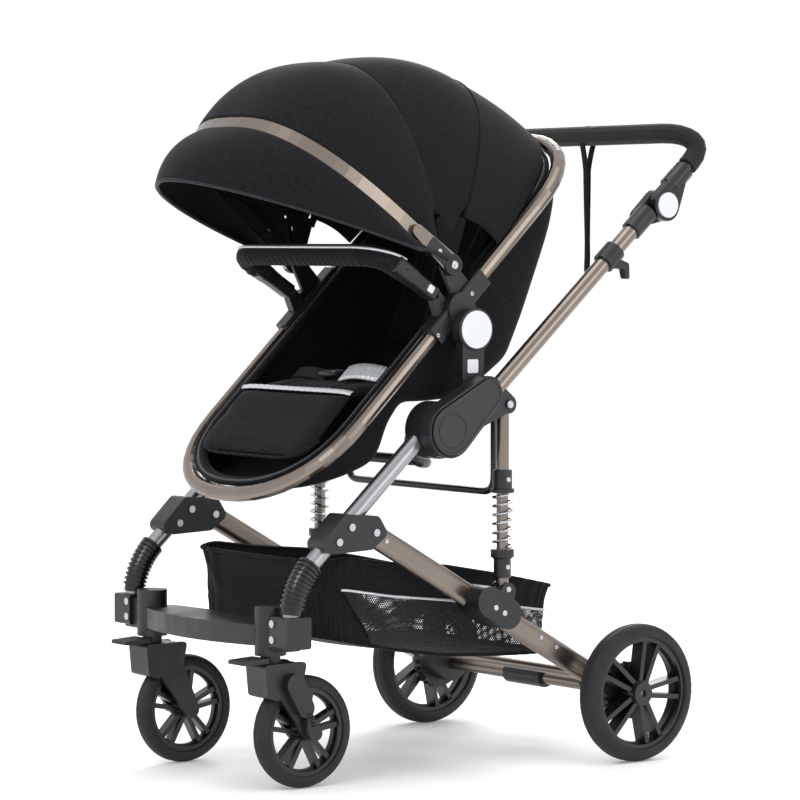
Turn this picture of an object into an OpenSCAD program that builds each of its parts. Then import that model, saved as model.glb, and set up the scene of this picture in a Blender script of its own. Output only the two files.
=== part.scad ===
// Baby stroller: folding aluminium frame, swivel casters, reversible seat unit with canopy.
// Millimetres. The front faces -Y, the left side is +X, and the wheels stand on Z = 0.

/* [Seat] */
// Width of the seat hoop between its tube centres
seat_w = 400; // [360:5:480]
// Length of the seat hoop along its own plane
hoop_len = 836; // [760:4:920]
// Angle of the seat hoop above the horizontal
hoop_tilt = 43.7; // [38:0.1:48]
// Diameter of the hoop tube
hoop_d = 25; // [22:0.5:30]

/* [Frame] */
// Diameter of the front leg tubes
leg_d = 28; // [24:0.5:34]
// Diameter of the handle tubes
handle_d = 27; // [23:0.5:32]
// Length of each handle tube from its socket to the angle joint
handle_len = 445; // [370:5:540]
// Height of the flat side tube's section
side_tube_h = 38; // [32:1:44]
// Width of the flat side tube's section
side_tube_w = 22; // [20:0.5:26]
// Diameter of the rear axle tube
axle_d = 22; // [18:0.5:26]

/* [Wheels] */
// Diameter of the rear wheels
rear_wheel_d = 230; // [200:2:276]
// Width of the rear tyres
rear_tyre_w = 40; // [32:1:48]
// Diameter of the front wheels
front_wheel_d = 180; // [150:2:190]
// Width of the front tyres
front_tyre_w = 30; // [24:1:36]
// Distance between the two caster stems
caster_track = 338; // [300:2:360]

/* [Strut] */
// Outer diameter of the strut spring
spring_d = 35; // [30:0.5:40]
// Thickness of the spring wire
wire_d = 4; // [3:0.25:5]
// Number of turns in the strut spring
spring_turns = 6; // [4:1:8]

/* [Canopy] */
// Width of the front bow's band
bow_w = 22; // [16:1:26]
// Thickness of the canopy cloth with its lining
cloth_t = 5; // [4:0.5:8]

/* [Basket] */
// Wall thickness of the basket
basket_wall = 5; // [4:0.5:8]

/* [Handle] */
// Diameter of the foam grip
grip_d = 34; // [31:1:40]
// Diameter of the tube inside the foam grip
bar_d = 24; // [20:1:26]

/* [Hidden] */

$fn = 48;
fit = 0.15;        // gap round a fixed tube in its socket
play = 0.08;       // radial running gap of a pin in its bore
gap = 0.5;         // side gap between parts that turn past each other
wall = 2;          // wall of the aluminium tubes

// Layers across the width, from the seat outwards
hoop_x = seat_w / 2;
sleeve_half = hoop_d / 2 + 4.5;
leg_x = hoop_x + 25;
cheek = 10;                                  // thickness of a bracket's side cheek
bracket_half = side_tube_w / 2 + gap + cheek;
housing_in = leg_x - 18;
housing_out = leg_x + 15;
cover_in = housing_out + gap;
handle_x = housing_out + handle_d / 2 + 4.5;
cover_out = handle_x + handle_d / 2 + 1.5;
strut_w = side_tube_w;                       // width of the strut's end eyes
strut_x = housing_out + gap + strut_w / 2;
arm_in = strut_x + strut_w / 2 + gap;        // the handle's arm lies outside the strut
rear_x = leg_x + side_tube_w / 2 + 28 + rear_tyre_w / 2;
caster_x = caster_track / 2;

// Pivots in the side view, as [y, z]
A = [-230, 406];                             // side tube on the leg bracket
B = [-97, 563];                              // handle on the frame joint
C = [22, 602];                               // strut on the handle's arm
D = [22, 298];                               // strut on the side tube
H = [-24, 723];                               // seat tilt hub
rear_axle = [283, rear_wheel_d / 2];
front_axle = [-319, front_wheel_d / 2];
stem_y = -380;
socket_z = [216, 292];                       // bottom and top of the caster post

// Front leg: a straight run, then an arc down into its socket
leg_a = 42;
leg_bend = [-339, 362];
leg_run = 290;
leg_r = 125;
leg_centre = leg_bend + leg_r * [sin(leg_a), -cos(leg_a)];
leg_foot_y = leg_centre[0] - leg_r;

// Handle tube axis
handle_a = 41.4;
handle_p = [16, 639];
knuckle = on_handle(handle_len, -11);

// Seat hoop in its own plane
hub_drop = 34;                               // tilt hub below the hoop's centre line
hoop_c = H + hub_drop * [-sin(hoop_tilt), cos(hoop_tilt)];
hoop_end = 168;                              // length of each rounded end
hoop_n = 2.3;                                // squareness of the rounded ends

// Canopy pivot and ribs, as [angle, reach, half width, squareness]
P = H + [-34, 104];
canopy_x = hoop_x + 15;
visor_edge = [18.7, 421, canopy_x + 20, 1.85];
bow = [38.3, 367, canopy_x, 2.8];
rib_mid = [75, 338, canopy_x - 5, 2.6];
rib_rear = [112, 332, canopy_x - 3, 2.7];

// ---------- helpers ----------
function dir(a) = [cos(a), sin(a)];
function on_handle(along, across) = handle_p + along * dir(handle_a) + across * dir(handle_a + 90);
function heading(a, b) = atan2(b[1] - a[1], b[0] - a[0]);
function unit(v) = v / norm(v);
function at_x(x, p) = [x, p[0], p[1]];

// Outline of a bar with round ends: circles of ra at a and rb at b with their tangents
function bar(a, ra, b, rb, n = 14) =
    let (t = heading(a, b), k = acos((ra - rb) / norm(b - a)))
    concat([for (i = [0:n]) a + ra * dir(t + k + i * (360 - 2 * k) / n)],
        [for (i = [0:n]) b + rb * dir(t - k + i * 2 * k / n)]);

// Outline with every corner rounded to radius r
function rounded(p, r, n = 5) =
    [for (i = [0:len(p) - 1])
        let (b = p[i], u = unit(p[(i + len(p) - 1) % len(p)] - b), v = unit(p[(i + 1) % len(p)] - b),
            h = acos(u * v) / 2, c = b + unit(u + v) * r / sin(h),
            s = heading(c, b + u * r / tan(h)), e = heading(c, b + v * r / tan(h)),
            d = (e - s > 180) ? e - s - 360 : (e - s < -180) ? e - s + 360 : e - s)
        each [for (k = [0:n]) c + r * dir(s + d * k / n)]];

// Points moved inwards by d from the sides of a convex outline
function inset(p, d) =
    [for (i = [0:len(p) - 1])
        let (b = p[i], u = unit(p[(i + len(p) - 1) % len(p)] - b), v = unit(p[(i + 1) % len(p)] - b))
        b + unit(u + v) * d / sin(acos(u * v) / 2)];

// Cubic curve through 3-D control points, in n steps
function bezier(a, b, c, d, n = 8) =
    [for (i = [0:n]) let (t = i / n, s = 1 - t)
        s * s * s * a + 3 * s * s * t * b + 3 * s * t * t * c + t * t * t * d];
function mirrored(p) = concat(p, [for (i = [len(p) - 1:-1:0]) [-p[i][0], p[i][1], p[i][2]]]);

module both() { children(); mirror([1, 0, 0]) children(); }
module on_side(s) { if (s > 0) children(); else mirror([1, 0, 0]) children(); }

// A [y, z] outline carried along X
module plate(x0, x1) { translate([x0, 0, 0]) rotate([90, 0, 90]) linear_extrude(x1 - x0) children(); }
module rod_x(p, x0, x1, r) { translate(at_x(x0, p)) rotate([0, 90, 0]) cylinder(h = x1 - x0, r = r); }
module rod_yz(a, b, x, r) {
    translate(at_x(x, a)) rotate([heading(a, b) - 90, 0, 0]) cylinder(h = norm(b - a), r = r);
}
module arc_yz(c, radius, a0, a1, x, r) {
    translate(at_x(x, c)) rotate([90, 0, 90]) rotate([0, 0, a0])
        rotate_extrude(angle = a1 - a0, $fn = 120) translate([radius, 0]) circle(r);
}

// Round tube swept along 3-D points; its rings stay square to the path
module sweep(path, r, sides = 12, ri = 0, closed = false) {
    m = len(path);
    tan_of = [for (i = [0:m - 1]) unit(path[closed ? (i + 1) % m : min(i + 1, m - 1)]
        - path[closed ? (i + m - 1) % m : max(i - 1, 0)])];
    side_of = [for (t = tan_of) unit(cross(t, abs(t[0]) > 0.99 ? [0, 0, 1] : abs(t * [0, 0.7, 0.7]) > 0.9
        ? [1, 0, 0] : [0, 0.7, 0.7]))];
    frames = [for (i = 0, s = side_of[0]; i < m;
        i = i + 1, s = i < m ? unit(s - (s * tan_of[i]) * tan_of[i]) : s) s];
    function ring(i, q) = [for (k = [0:sides - 1]) path[i] + q * (cos(k * 360 / sides) * frames[i]
        + sin(k * 360 / sides) * cross(tan_of[i], frames[i]))];
    last = closed ? m - 1 : m - 2;
    outer = [for (i = [0:last], k = [0:sides - 1]) let (a = i * sides, b = ((i + 1) % m) * sides, j = (k + 1) % sides)
        each [[a + k, b + k, b + j], [a + k, b + j, a + j]]];
    o = m * sides;
    if (ri == 0) {
        caps = closed ? [] : [[for (k = [0:sides - 1]) k],
            [for (k = [sides - 1:-1:0]) (m - 1) * sides + k]];
        polyhedron([for (i = [0:m - 1]) each ring(i, r)], concat(outer, caps));
    } else {
        inner = [for (f = outer) [f[0] + o, f[2] + o, f[1] + o]];
        e = (m - 1) * sides;
        ends = [for (k = [0:sides - 1]) let (j = (k + 1) % sides)
            each [[k, j, j + o], [k, j + o, k + o], [e + k, e + j + o, e + j], [e + k, e + k + o, e + j + o]]];
        polyhedron([for (q = [r, ri]) each [for (i = [0:m - 1]) each ring(i, q)]], concat(outer, inner, ends));
    }
}

// Closed skin between two grids of the same size: grid[i][j], outer first
module shell(outer, inner) {
    m = len(outer);
    n = len(outer[0]);
    o = m * n;
    function at(i, j) = i * n + j;
    skin = [for (i = [0:m - 2], j = [0:n - 2]) each [[at(i, j), at(i + 1, j + 1), at(i + 1, j)],
        [at(i, j), at(i, j + 1), at(i + 1, j + 1)]]];
    back = [for (f = skin) [f[0] + o, f[2] + o, f[1] + o]];
    rim = concat([for (j = [0:n - 1]) at(0, j)], [for (i = [1:m - 1]) at(i, n - 1)],
        [for (j = [n - 2:-1:0]) at(m - 1, j)], [for (i = [m - 2:-1:1]) at(i, 0)]);
    edge = [for (k = [0:len(rim) - 1]) let (a = rim[k], b = rim[(k + 1) % len(rim)])
        each [[a, b + o, b], [a, a + o, b + o]]];
    polyhedron([for (g = [outer, inner]) each [for (row = g) each row]], concat(skin, back, edge));
}

// ---------- front frame ----------
module leg_solid(r) {
    rod_yz(leg_bend, leg_bend + leg_run * dir(leg_a), leg_x, r);
    arc_yz(leg_centre, leg_r, 90 + leg_a, 180, leg_x, r);
    rod_yz([leg_foot_y, 236], [leg_foot_y, leg_centre[1]], leg_x, r);
    rod_yz(leg_bend - 2 * dir(leg_a), leg_bend + 2 * dir(leg_a), leg_x, r - 0.5);
    rod_yz([leg_foot_y, leg_centre[1] - 2], [leg_foot_y, leg_centre[1] + 2], leg_x, r - 0.5);
}
module front_leg_tubes() { color("silver") both() difference() {
    leg_solid(leg_d / 2);
    leg_solid(leg_d / 2 - wall);
} }

side_a = heading(A, rear_axle);
fold_max = 24;
pin_r = 5;
bracket_outline = [[-290, 438], [-224, 432], [-205, 402], [-238, 379], [-316, 376], [-342, 388]];
module leg_brackets() { color("dimgray") both() {
    difference() {
        plate(leg_x - bracket_half, leg_x + bracket_half) polygon(rounded(bracket_outline, 11));
        leg_solid(leg_d / 2 + fit);
        plate(leg_x - side_tube_w / 2 - gap, leg_x + side_tube_w / 2 + gap) {
            for (a = [side_a, side_a + fold_max / 2, side_a + fold_max])
                polygon(bar(A, side_tube_h / 2 + 4.5, A + 90 * dir(a), side_tube_h / 2 + 2));
        }
    }
    rod_x(A, leg_x - bracket_half + 2, leg_x + bracket_half - 2, pin_r);
} }

rivet_r = 6;
module frame_rivets() { color("lightgray") both() {
    for (p = [A, leg_bend + 82 * dir(leg_a), leg_bend + 49 * dir(leg_a)], x = [-bracket_half - 2.5, bracket_half])
        rod_x(p, leg_x + x, leg_x + x + 2.5, rivet_r);
    for (z = [245, 270])
        translate([leg_x - 17, leg_foot_y - socket_half, z]) rotate([90, 0, 0]) cylinder(h = 2.5, r = rivet_r);
} }

bellows_top = 134;
bellows_low = 173.3;
module leg_bellows() { color("#1c1c1e") both() difference() {
    union() {
        arc_yz(leg_centre, leg_r, bellows_top, bellows_low, leg_x, leg_d / 2 + 2.5);
        for (i = [0:10]) let (a = bellows_top + i * 3.3)
            arc_yz(leg_centre, leg_r, a, a + 1.7, leg_x, leg_d / 2 + 5.5);
    }
    arc_yz(leg_centre, leg_r, bellows_top - 4, bellows_low + 4, leg_x, leg_d / 2 + fit);
} }

socket_half = leg_d / 2 + 9;
post_r = 25;
stem_r = 8;
module caster_sockets() { color("#26272b") both() difference() {
    union() {
        translate([caster_x, stem_y, socket_z[0]]) cylinder(h = socket_z[1] - socket_z[0], r = post_r);
        plate(leg_x - socket_half, leg_x + socket_half) polygon(rounded([[leg_foot_y - socket_half, 231],
            [leg_foot_y + socket_half, 231], [leg_foot_y + socket_half, 281], [leg_foot_y - socket_half, 281]], 4));
        plate(caster_x, leg_x) polygon(rounded([[stem_y - 17, 226], [stem_y + 19, 226],
            [stem_y + 19, 276], [stem_y - 17, 276]], 4));
    }
    leg_solid(leg_d / 2 + fit);
    translate([caster_x, stem_y, socket_z[0] - 1]) cylinder(h = 66, r = stem_r + play);
} }

board_half = caster_x - 4;
board_z = [231, 264];
module step_board() { color("#2b2c30") difference() {
    translate([0, 0, board_z[0]]) linear_extrude(board_z[1] - board_z[0]) polygon(rounded(concat(
        [for (i = [-5:5]) [i / 5 * board_half, -398 - 30 * (1 - i * i / 25)]],
        [[board_half, -340], [board_half * 0.4, -332], [-board_half * 0.4, -332], [-board_half, -340]]), 5, 2));
    both() translate([caster_x, stem_y, 0]) cylinder(h = 400, r = post_r + fit);
    both() plate(caster_x - 6, leg_x) polygon([[stem_y - 17 - fit, 220], [stem_y + 19 + fit, 220],
        [stem_y + 19 + fit, 280], [stem_y - 17 - fit, 280]]);
} }

housing_r = 46;
post_p = [-14, 622];
adapter_y = [H[0] - 27, H[0] + 15];
adapter_z = 640;
adapter_in = leg_x - 3;
u_bar_x = hoop_x;
u_bar_y = 46;
u_bar_z = 455;
bar_r = 6;
module joint_housings() { color("#222326") both() {
    difference() {
        union() {
            rod_x(B, housing_in, housing_out, housing_r);
            plate(adapter_in, housing_out) {
                polygon(bar(B, 34, post_p, 18));
                polygon([[adapter_y[0], 606], [adapter_y[1], 606], [adapter_y[1], adapter_z],
                    [adapter_y[0], adapter_z]]);
            }
            rod_x(B, housing_in - 8, housing_in + 2, 31);
            plate(u_bar_x - 7, u_bar_x + 7) polygon(bar(B, 24, [u_bar_y, 600], 11));
            rod_x(B, u_bar_x, housing_in + 2, 24);
        }
        leg_solid(leg_d / 2 + fit);
        rod_x(B, housing_out - 13, housing_out + 1, 12 + play);
        translate([u_bar_x, u_bar_y, 580]) cylinder(h = 40, r = bar_r + fit);
        sweep(mirrored(brace_half), 9 + fit, 12);
    }
} }

module seat_adapters() { color("#2a2b2f") both() difference() {
    union() {
        plate(adapter_in, housing_out) polygon(rounded([[adapter_y[0], adapter_z], [adapter_y[1], adapter_z],
            [adapter_y[1] + 4, H[1] - 10], [adapter_y[0], H[1] - 10]], 3));
        rod_x(H, adapter_in, housing_out, hub_r);
    }
    rod_x(H, adapter_in - 1, adapter_in + 9, 10 + play);
    rod_x(H, housing_out - 6, housing_out + 1, hub_button_r + 0.4);
    plate(housing_out - 7, housing_out + 1) polygon(square_at(release_p, release_w / 2 + 0.4));
} }
hub_r = 34;
hub_button_r = 30.5;
release_p = H + [-6, -59];
release_w = 22;
function square_at(p, h) = [p + [-h, -h], p + [h, -h], p + [h, h], p + [-h, h]];

brace_half = concat([[housing_in - 4, -118, 556]], bezier([housing_in - 12, -124, 548],
    [housing_in - 18, -140, 500], [housing_in - 18, -50, 506], [118, -48, 506]));
module front_cross_brace() { color("#1d1e20") sweep(mirrored(brace_half), 9); }
module rear_u_bar() { color("#1d1e20") sweep(mirrored(concat([[u_bar_x, u_bar_y, 596]],
    bezier([u_bar_x, u_bar_y, u_bar_z + 30], [u_bar_x, u_bar_y, u_bar_z + 8],
        [u_bar_x - 8, u_bar_y, u_bar_z], [u_bar_x - 30, u_bar_y, u_bar_z]))), bar_r, 10); }

// ---------- rear frame ----------
module oval_along(a, b, x, h, w) {
    translate(at_x(x, a)) rotate([heading(a, b) - 90, 0, 0]) linear_extrude(norm(b - a))
        polygon(bar([0, (w - h) / 2], w / 2, [0, (h - w) / 2], w / 2, 12));
}
side_start = A - 12 * dir(side_a);
side_end = rear_axle - 26 * dir(side_a);
module side_tubes() { color("#8c8178") both() difference() {
    union() {
        difference() {
            oval_along(side_start, side_end, leg_x, side_tube_h, side_tube_w);
            oval_along(side_start - dir(side_a), side_end + dir(side_a), leg_x, side_tube_h - 2 * wall,
                side_tube_w - 2 * wall);
        }
        rod_x(A, leg_x - side_tube_w / 2 + 1, leg_x + side_tube_w / 2 - 1, pin_r + 4);
    }
    rod_x(A, leg_x - side_tube_w, leg_x + side_tube_w, pin_r + play);
} }

wheel_pin_r = 6;
housing_face = leg_x - side_tube_w / 2 - 7;   // inner face of the brake housings
module rear_axle() { color("#8c8178") {
    rod_x(rear_axle, -housing_out, housing_out, axle_d / 2);
    both() rod_x(rear_axle, housing_out - 1, rear_x + rear_tyre_w / 2 - 6, wheel_pin_r);
    rod_x(rear_axle - 52 * dir(side_a), -housing_face, housing_face, 8);
} }

drum_r = 44;
module brake_housings() { color("#202124") both() difference() {
    union() {
        plate(housing_face, leg_x + side_tube_w / 2 + 7)
            polygon(bar(rear_axle, 32, rear_axle - 42 * dir(side_a), side_tube_h / 2 + 6));
        rod_x(rear_axle, leg_x + side_tube_w / 2 + 5, rear_x - rear_tyre_w / 2 - 4, drum_r);
        plate(rear_x - rear_tyre_w / 2 - 12, rear_x - rear_tyre_w / 2 - 4)
            polygon([for (a = [0:15:345], k = [[-4.4, -2], [-2.6, 5], [2.6, 5], [4.4, -2]])
                rear_axle + (drum_r + k[1]) * dir(a + k[0])]);
    }
    oval_along(side_start, side_end + fit * dir(side_a), leg_x, side_tube_h + 2 * fit, side_tube_w + 2 * fit);
    rod_x(rear_axle, 0, housing_out, axle_d / 2 + fit);
    rod_x(rear_axle, 0, rear_x, wheel_pin_r + fit);
} }

strut_foot = A + (D - A) * dir(side_a) * dir(side_a);
module strut_brackets() { color("#26272b") both() {
    difference() {
        union() {
            plate(leg_x - side_tube_w / 2 - 6, arm_in + 5)
                polygon(bar(strut_foot - 26 * dir(side_a), side_tube_h / 2 + 6, strut_foot + 20 * dir(side_a),
                    side_tube_h / 2 + 6));
            plate(leg_x + side_tube_w / 2, arm_in + 5) polygon(bar(strut_foot, 22, D, 15));
        }
        oval_along(side_start, side_end, leg_x, side_tube_h + 2 * fit, side_tube_w + 2 * fit);
        plate(strut_x - strut_w / 2 - 0.3, strut_x + strut_w / 2 + 0.3) for (s = [-1, 0, 1])
            polygon(bar(D, 15, D + [s * 10, 60], 17));
    }
    rod_x(D, leg_x + side_tube_w / 2 + 1, arm_in + 4, pin_r);
} }

basket_half = hoop_x - 7;
basket_outline = [[-294, 360], [-286, 236], [-150, 203], [75, 179], [196, 175], [204, 296], [-159, 346]];
module basket() { color("#222226") difference() {
    union() {
        plate(-basket_half, basket_half) polygon(basket_outline);
        both() plate(basket_half - 1, leg_x - side_tube_w / 2 - 6.3) polygon(square_at(strut_foot, 12));
    }
    plate(basket_wall - basket_half, basket_half - basket_wall) {
        q = inset(basket_outline, basket_wall);
        polygon([q[0] + [0, 90], q[1], q[2], q[3], q[4], q[5] + [0, 90]]);
    }
} }

pedal_half = 48;
module brake_pedal() { color("#2b2c2f") difference() {
    plate(-pedal_half, pedal_half) {
        polygon(bar(rear_axle, axle_d / 2 + 6, rear_axle + [62, 6], 5));
    }
    rod_x(rear_axle, -pedal_half - 1, pedal_half + 1, axle_d / 2 + play);
} }

// ---------- rear struts ----------
rod_r = 9.5;
spring_z = [D[1] + 69, D[1] + 160];
module on_strut(z) { translate([strut_x, D[0], z]) children(); }
module strut_rods() { color("#9a9088") both() difference() {
    union() {
        rod_x(D, strut_x - strut_w / 2, strut_x + strut_w / 2, 13);
        on_strut(D[1]) cylinder(h = spring_z[0] - 12 - D[1], r = strut_w / 2 - 0.6);
        on_strut(spring_z[0] - 13) cylinder(h = 12.7, r = spring_d / 2 + 1);
        on_strut(spring_z[0] - 1) cylinder(h = 150, r = rod_r);
    }
    rod_x(D, leg_x, strut_x + strut_w, pin_r + play);
} }
module strut_tubes() { color("#8c8178") both() difference() {
    union() {
        on_strut(spring_z[1] + 0.3) cylinder(h = 6, r = spring_d / 2 + 1);
        on_strut(spring_z[1] + 6) cylinder(h = 31, r = 15);
        on_strut(spring_z[1] + 36) cylinder(h = C[1] - spring_z[1] - 40, r = strut_w / 2 - 0.4);
        rod_x(C, strut_x - strut_w / 2, strut_x + strut_w / 2, 13);
    }
    on_strut(spring_z[1]) cylinder(h = C[1] - spring_z[1] - 18, r = rod_r + play);
    rod_x(C, leg_x, strut_x + strut_w, pin_r + play);
} }
coil_r = (spring_d - wire_d) / 2;
module strut_springs() { color("gainsboro") both() on_strut(spring_z[0] + wire_d / 2)
    let (steps = 14, n = spring_turns * steps, h = spring_z[1] - spring_z[0] - wire_d)
    sweep([for (i = [0:n]) [coil_r * cos(i * 360 / steps), coil_r * sin(i * 360 / steps), h * i / n]],
        wire_d / 2, 6); }

// ---------- handle ----------
tip = [-20, 620];
arm_out = cover_out - 4;
module handle_axis(s0, s1, r) { rod_yz(on_handle(s0, 0), on_handle(s1, 0), handle_x, r); }
module handle_tubes() { color("#8c8178") both() difference() {
    handle_axis(-26, handle_len - 32, handle_d / 2);
    handle_axis(-27, handle_len, handle_d / 2 - wall);
} }
module joint_covers() { color("#34353a") both() difference() {
    union() {
        plate(cover_in, cover_out - 4) polygon(bar(B, 44, tip, 29));
        plate(cover_in, cover_out) polygon(bar(B, 38, tip, 23));
        plate(arm_in, arm_out) {
            polygon(bar(tip, 28, C, 15));
            polygon(bar(B, 20, C, 12));
        }
        rod_x(B, cover_in - 12, cover_in + 1, 12);
        rod_x(C, arm_out - 1, arm_out + 3, 8);
    }
    handle_axis(-26 - fit, 60, handle_d / 2 + fit);
    rod_x(C, cover_in - 1, arm_in, 19);
} }
clamp_s = 303;
module hook_clamps() { color("#202124") both() difference() {
    union() {
        handle_axis(clamp_s - 17, clamp_s + 17, handle_d / 2 + 5);
        plate(handle_x - 7, handle_x + 7) {
            polygon(bar(on_handle(clamp_s, -14), 9, on_handle(clamp_s + 14, -33), 6));
            polygon(bar(on_handle(clamp_s + 14, -33), 6, on_handle(clamp_s + 4, -48), 4));
        }
    }
    handle_axis(clamp_s - 20, clamp_s + 20, handle_d / 2 + fit);
} }
knuckle_r = 27;
disc_r = 21;
module handle_knuckles() { color("#26272b") both() difference() {
    union() {
        handle_axis(handle_len - 78, handle_len - 30, handle_d / 2 + 4);
        plate(handle_x - handle_d / 2 - 3, handle_x - 1) polygon(bar(knuckle, knuckle_r, on_handle(handle_len - 44, 0), 15));
        rod_x(knuckle, handle_x - 2, handle_x + handle_d / 2 - 3.5, 9);
    }
    handle_axis(0, handle_len - 32 + fit, handle_d / 2 + fit);
} }

bar_start = handle_len + 27;
grip_start = handle_len + 88;
arm_end = at_x(handle_x, on_handle(handle_len + 98, 0));
lean = at_x(handle_x, on_handle(handle_len + 146, 0));
cross_p = on_handle(handle_len + 127, 40);
handle_curve = mirrored(bezier(arm_end, lean, at_x(handle_x - 2, cross_p + [3, 0]), at_x(handle_x - 68, cross_p)));
module handle_bar() { color("#26272b") {
    sweep([at_x(handle_x, on_handle(bar_start, 0)), each handle_curve,
        at_x(-handle_x, on_handle(bar_start, 0))], bar_d / 2);
    both() difference() {
        union() {
            handle_axis(handle_len + 34, handle_len + 78, handle_d / 2 + 4);
            plate(handle_x - 0.5, handle_x + handle_d / 2 + 3) polygon(bar(knuckle, knuckle_r, on_handle(handle_len + 44, 0), 15));
        }
        rod_x(knuckle, handle_x - 5, handle_x + handle_d / 2 + fit, 9 + play);
        rod_x(knuckle, handle_x + handle_d / 2 - 3, handle_x + handle_d, disc_r + 0.4);
    }
} }
module foam_grip() { color("#161618") sweep([at_x(handle_x, on_handle(grip_start, 0)), each handle_curve,
    at_x(-handle_x, on_handle(grip_start, 0))], grip_d / 2, 12, bar_d / 2 + fit); }
strap_x = -5;
strap_low = cross_p + [6, -232];
module wrist_strap() { color("#19191b") plate(strap_x - 6.5, strap_x + 6.5) difference() {
    polygon(bar(cross_p, grip_d / 2 + 2.2, strap_low, 9, 20));
    polygon(bar(cross_p, grip_d / 2 + 0.4, strap_low, 7.2, 20));
} }
module handle_button(s) { color("white") on_side(s)
    rod_x(knuckle, handle_x + handle_d / 2 + 0.8, handle_x + handle_d / 2 + 6.5, disc_r); }

// ---------- casters and wheels ----------
fork_gap = front_tyre_w / 2 + 3;
fork_out = fork_gap + 9;
fork_top = 204;
module caster_fork(s) { color("#222326") on_side(s) {
    difference() {
        union() {
            plate(caster_x - fork_out, caster_x + fork_out) polygon(rounded([[stem_y - 29, fork_top],
                [stem_y - 24, 152], [stem_y - 4, 146], [stem_y + 44, 168], [stem_y + 52, fork_top]], 6));
            for (x = [-fork_out, fork_gap]) plate(caster_x + x, caster_x + x + fork_out - fork_gap)
                polygon(bar([stem_y + 12, 176], 25, front_axle, 14));
        }
        rod_x(front_axle, caster_x - fork_gap, caster_x + fork_gap, front_wheel_d / 2 + 3);
        plate(caster_x - fork_gap, caster_x + fork_gap) polygon(bar(front_axle, 30, front_axle + [0, 60], 60));
    }
    translate([caster_x, stem_y, fork_top - 1]) cylinder(h = 66, r = stem_r);
    translate([caster_x, stem_y, fork_top - 1]) cylinder(h = socket_z[0] - fork_top + 1 - gap, r = 16);
    rod_x(front_axle, caster_x - fork_gap - 1, caster_x + fork_gap + 1, wheel_pin_r);
} }
shock_a = [stem_y + 22, 171];
shock_b = [stem_y + 42, 132];
module caster_shock(s) { x = caster_x + fork_out + 0.2; color("#2d2e32") on_side(s) {
    plate(x, x + 13) {
        polygon(bar(shock_a, 17, shock_b, 15));
        polygon(bar(front_axle + [-1, 1], 12, front_axle + [-9, 18], 9));
    }
    rod_yz(shock_b, front_axle, x + 8, 5);
    for (t = [0:4]) translate(at_x(x + 8, shock_b + (11 + 5 * t) * unit(front_axle - shock_b)))
        rotate([heading(shock_b, front_axle) - 90, 0, 0]) cylinder(h = 2.8, r = 7.5);
} }
lock_p = [stem_y - 19, fork_top + 5];
module swivel_lock(s) { color("#1b1c1e") on_side(s) {
    plate(caster_x - 21, caster_x + 21) polygon(rounded([lock_p + [-48, -4], lock_p + [-46, 2.5],
        lock_p + [-8, 4.5], lock_p + [1.5, 4.5], lock_p + [1.5, -4.2], lock_p + [-10, -4.2]], 1.2));
} }

function spoke(a, r0, r1, spread) = [for (k = [-1, 1])
    bar([r0 * cos(a) - k * spread * 0.4 * sin(a), r0 * sin(a) + k * spread * 0.4 * cos(a)], 4,
        [r1 * cos(a) - k * spread * sin(a), r1 * sin(a) + k * spread * cos(a)], 4, 8)];
module ring_x(p, x0, x1, r1, r0) { difference() { rod_x(p, x0, x1, r1); rod_x(p, x0 - 1, x1 + 1, r0); } }
module rim(p, x, half, r, hub, bore, turn) { difference() {
    union() {
        ring_x(p, x - half, x + half, r, r - 7);
        ring_x(p, x - 3, x + 3, r - 6, r - 11);
        rod_x(p, x - half, x + half, hub);
        plate(x - half + 3, x + half - 3) translate(p)
            for (i = [0:4], q = spoke(turn + 72 * i, hub - 3, r - 7, hub * 0.75)) polygon(q);
    }
    rod_x(p, x - half - 1, x + half + 1, bore + play);
} }
module tyre(p, x, half, r, ri) { translate(at_x(x, p)) rotate([0, 90, 0]) rotate_extrude($fn = 120)
    polygon(concat([[ri, -half + 4], [ri, half - 4]],
        [for (i = [0:8]) let (a = 90 - i * 22.5) [r - 8 + 8 * cos(a), (half - 1) * sin(a)]])); }
tyre_t = 22;
module front_rim(s) { color("#18191b") on_side(s) rim(front_axle, caster_x, front_tyre_w / 2 - 3,
    front_wheel_d / 2 - tyre_t + 3, 15, wheel_pin_r, 17); }
module front_tyre(s) { color("#101011") on_side(s) tyre(front_axle, caster_x, front_tyre_w / 2,
    front_wheel_d / 2, front_wheel_d / 2 - tyre_t + 3 + fit); }
module rear_rim(s) { color("#18191b") on_side(s) {
    rim(rear_axle, rear_x, rear_tyre_w / 2 - 4, rear_wheel_d / 2 - tyre_t, 21, wheel_pin_r, 2);
    ring_x(rear_axle, rear_x + rear_tyre_w / 2 - 4.2, rear_x + rear_tyre_w / 2 - 1, 19, wheel_pin_r + play);
} }
module rear_tyre(s) { color("#101011") on_side(s) tyre(rear_axle, rear_x, rear_tyre_w / 2,
    rear_wheel_d / 2, rear_wheel_d / 2 - tyre_t + fit); }

// ---------- seat ----------
along = dir(hoop_tilt);
up = dir(hoop_tilt + 90);
function in_seat(s, h) = hoop_c + s * along + h * up;     // h above the hoop plane
function power(v, n) = sign(v) * pow(abs(v), 2 / n);
function hoop_half(s, w) = let (e = max(0, abs(s) - hoop_len / 2 + hoop_end) / hoop_end)
    w * pow(max(0, 1 - pow(e, hoop_n)), 1 / hoop_n);
hoop_path = [for (e = [1, -1], i = [0:20]) let (t = i * 9)
    at_x(e * hoop_x * power(cos(t), hoop_n), in_seat(e * (hoop_len / 2 - hoop_end + hoop_end * power(sin(t), hoop_n)), 0))];
module seat_hoop() { color("#8c8178") sweep(hoop_path, hoop_d / 2, 12, 0, true); }

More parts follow.
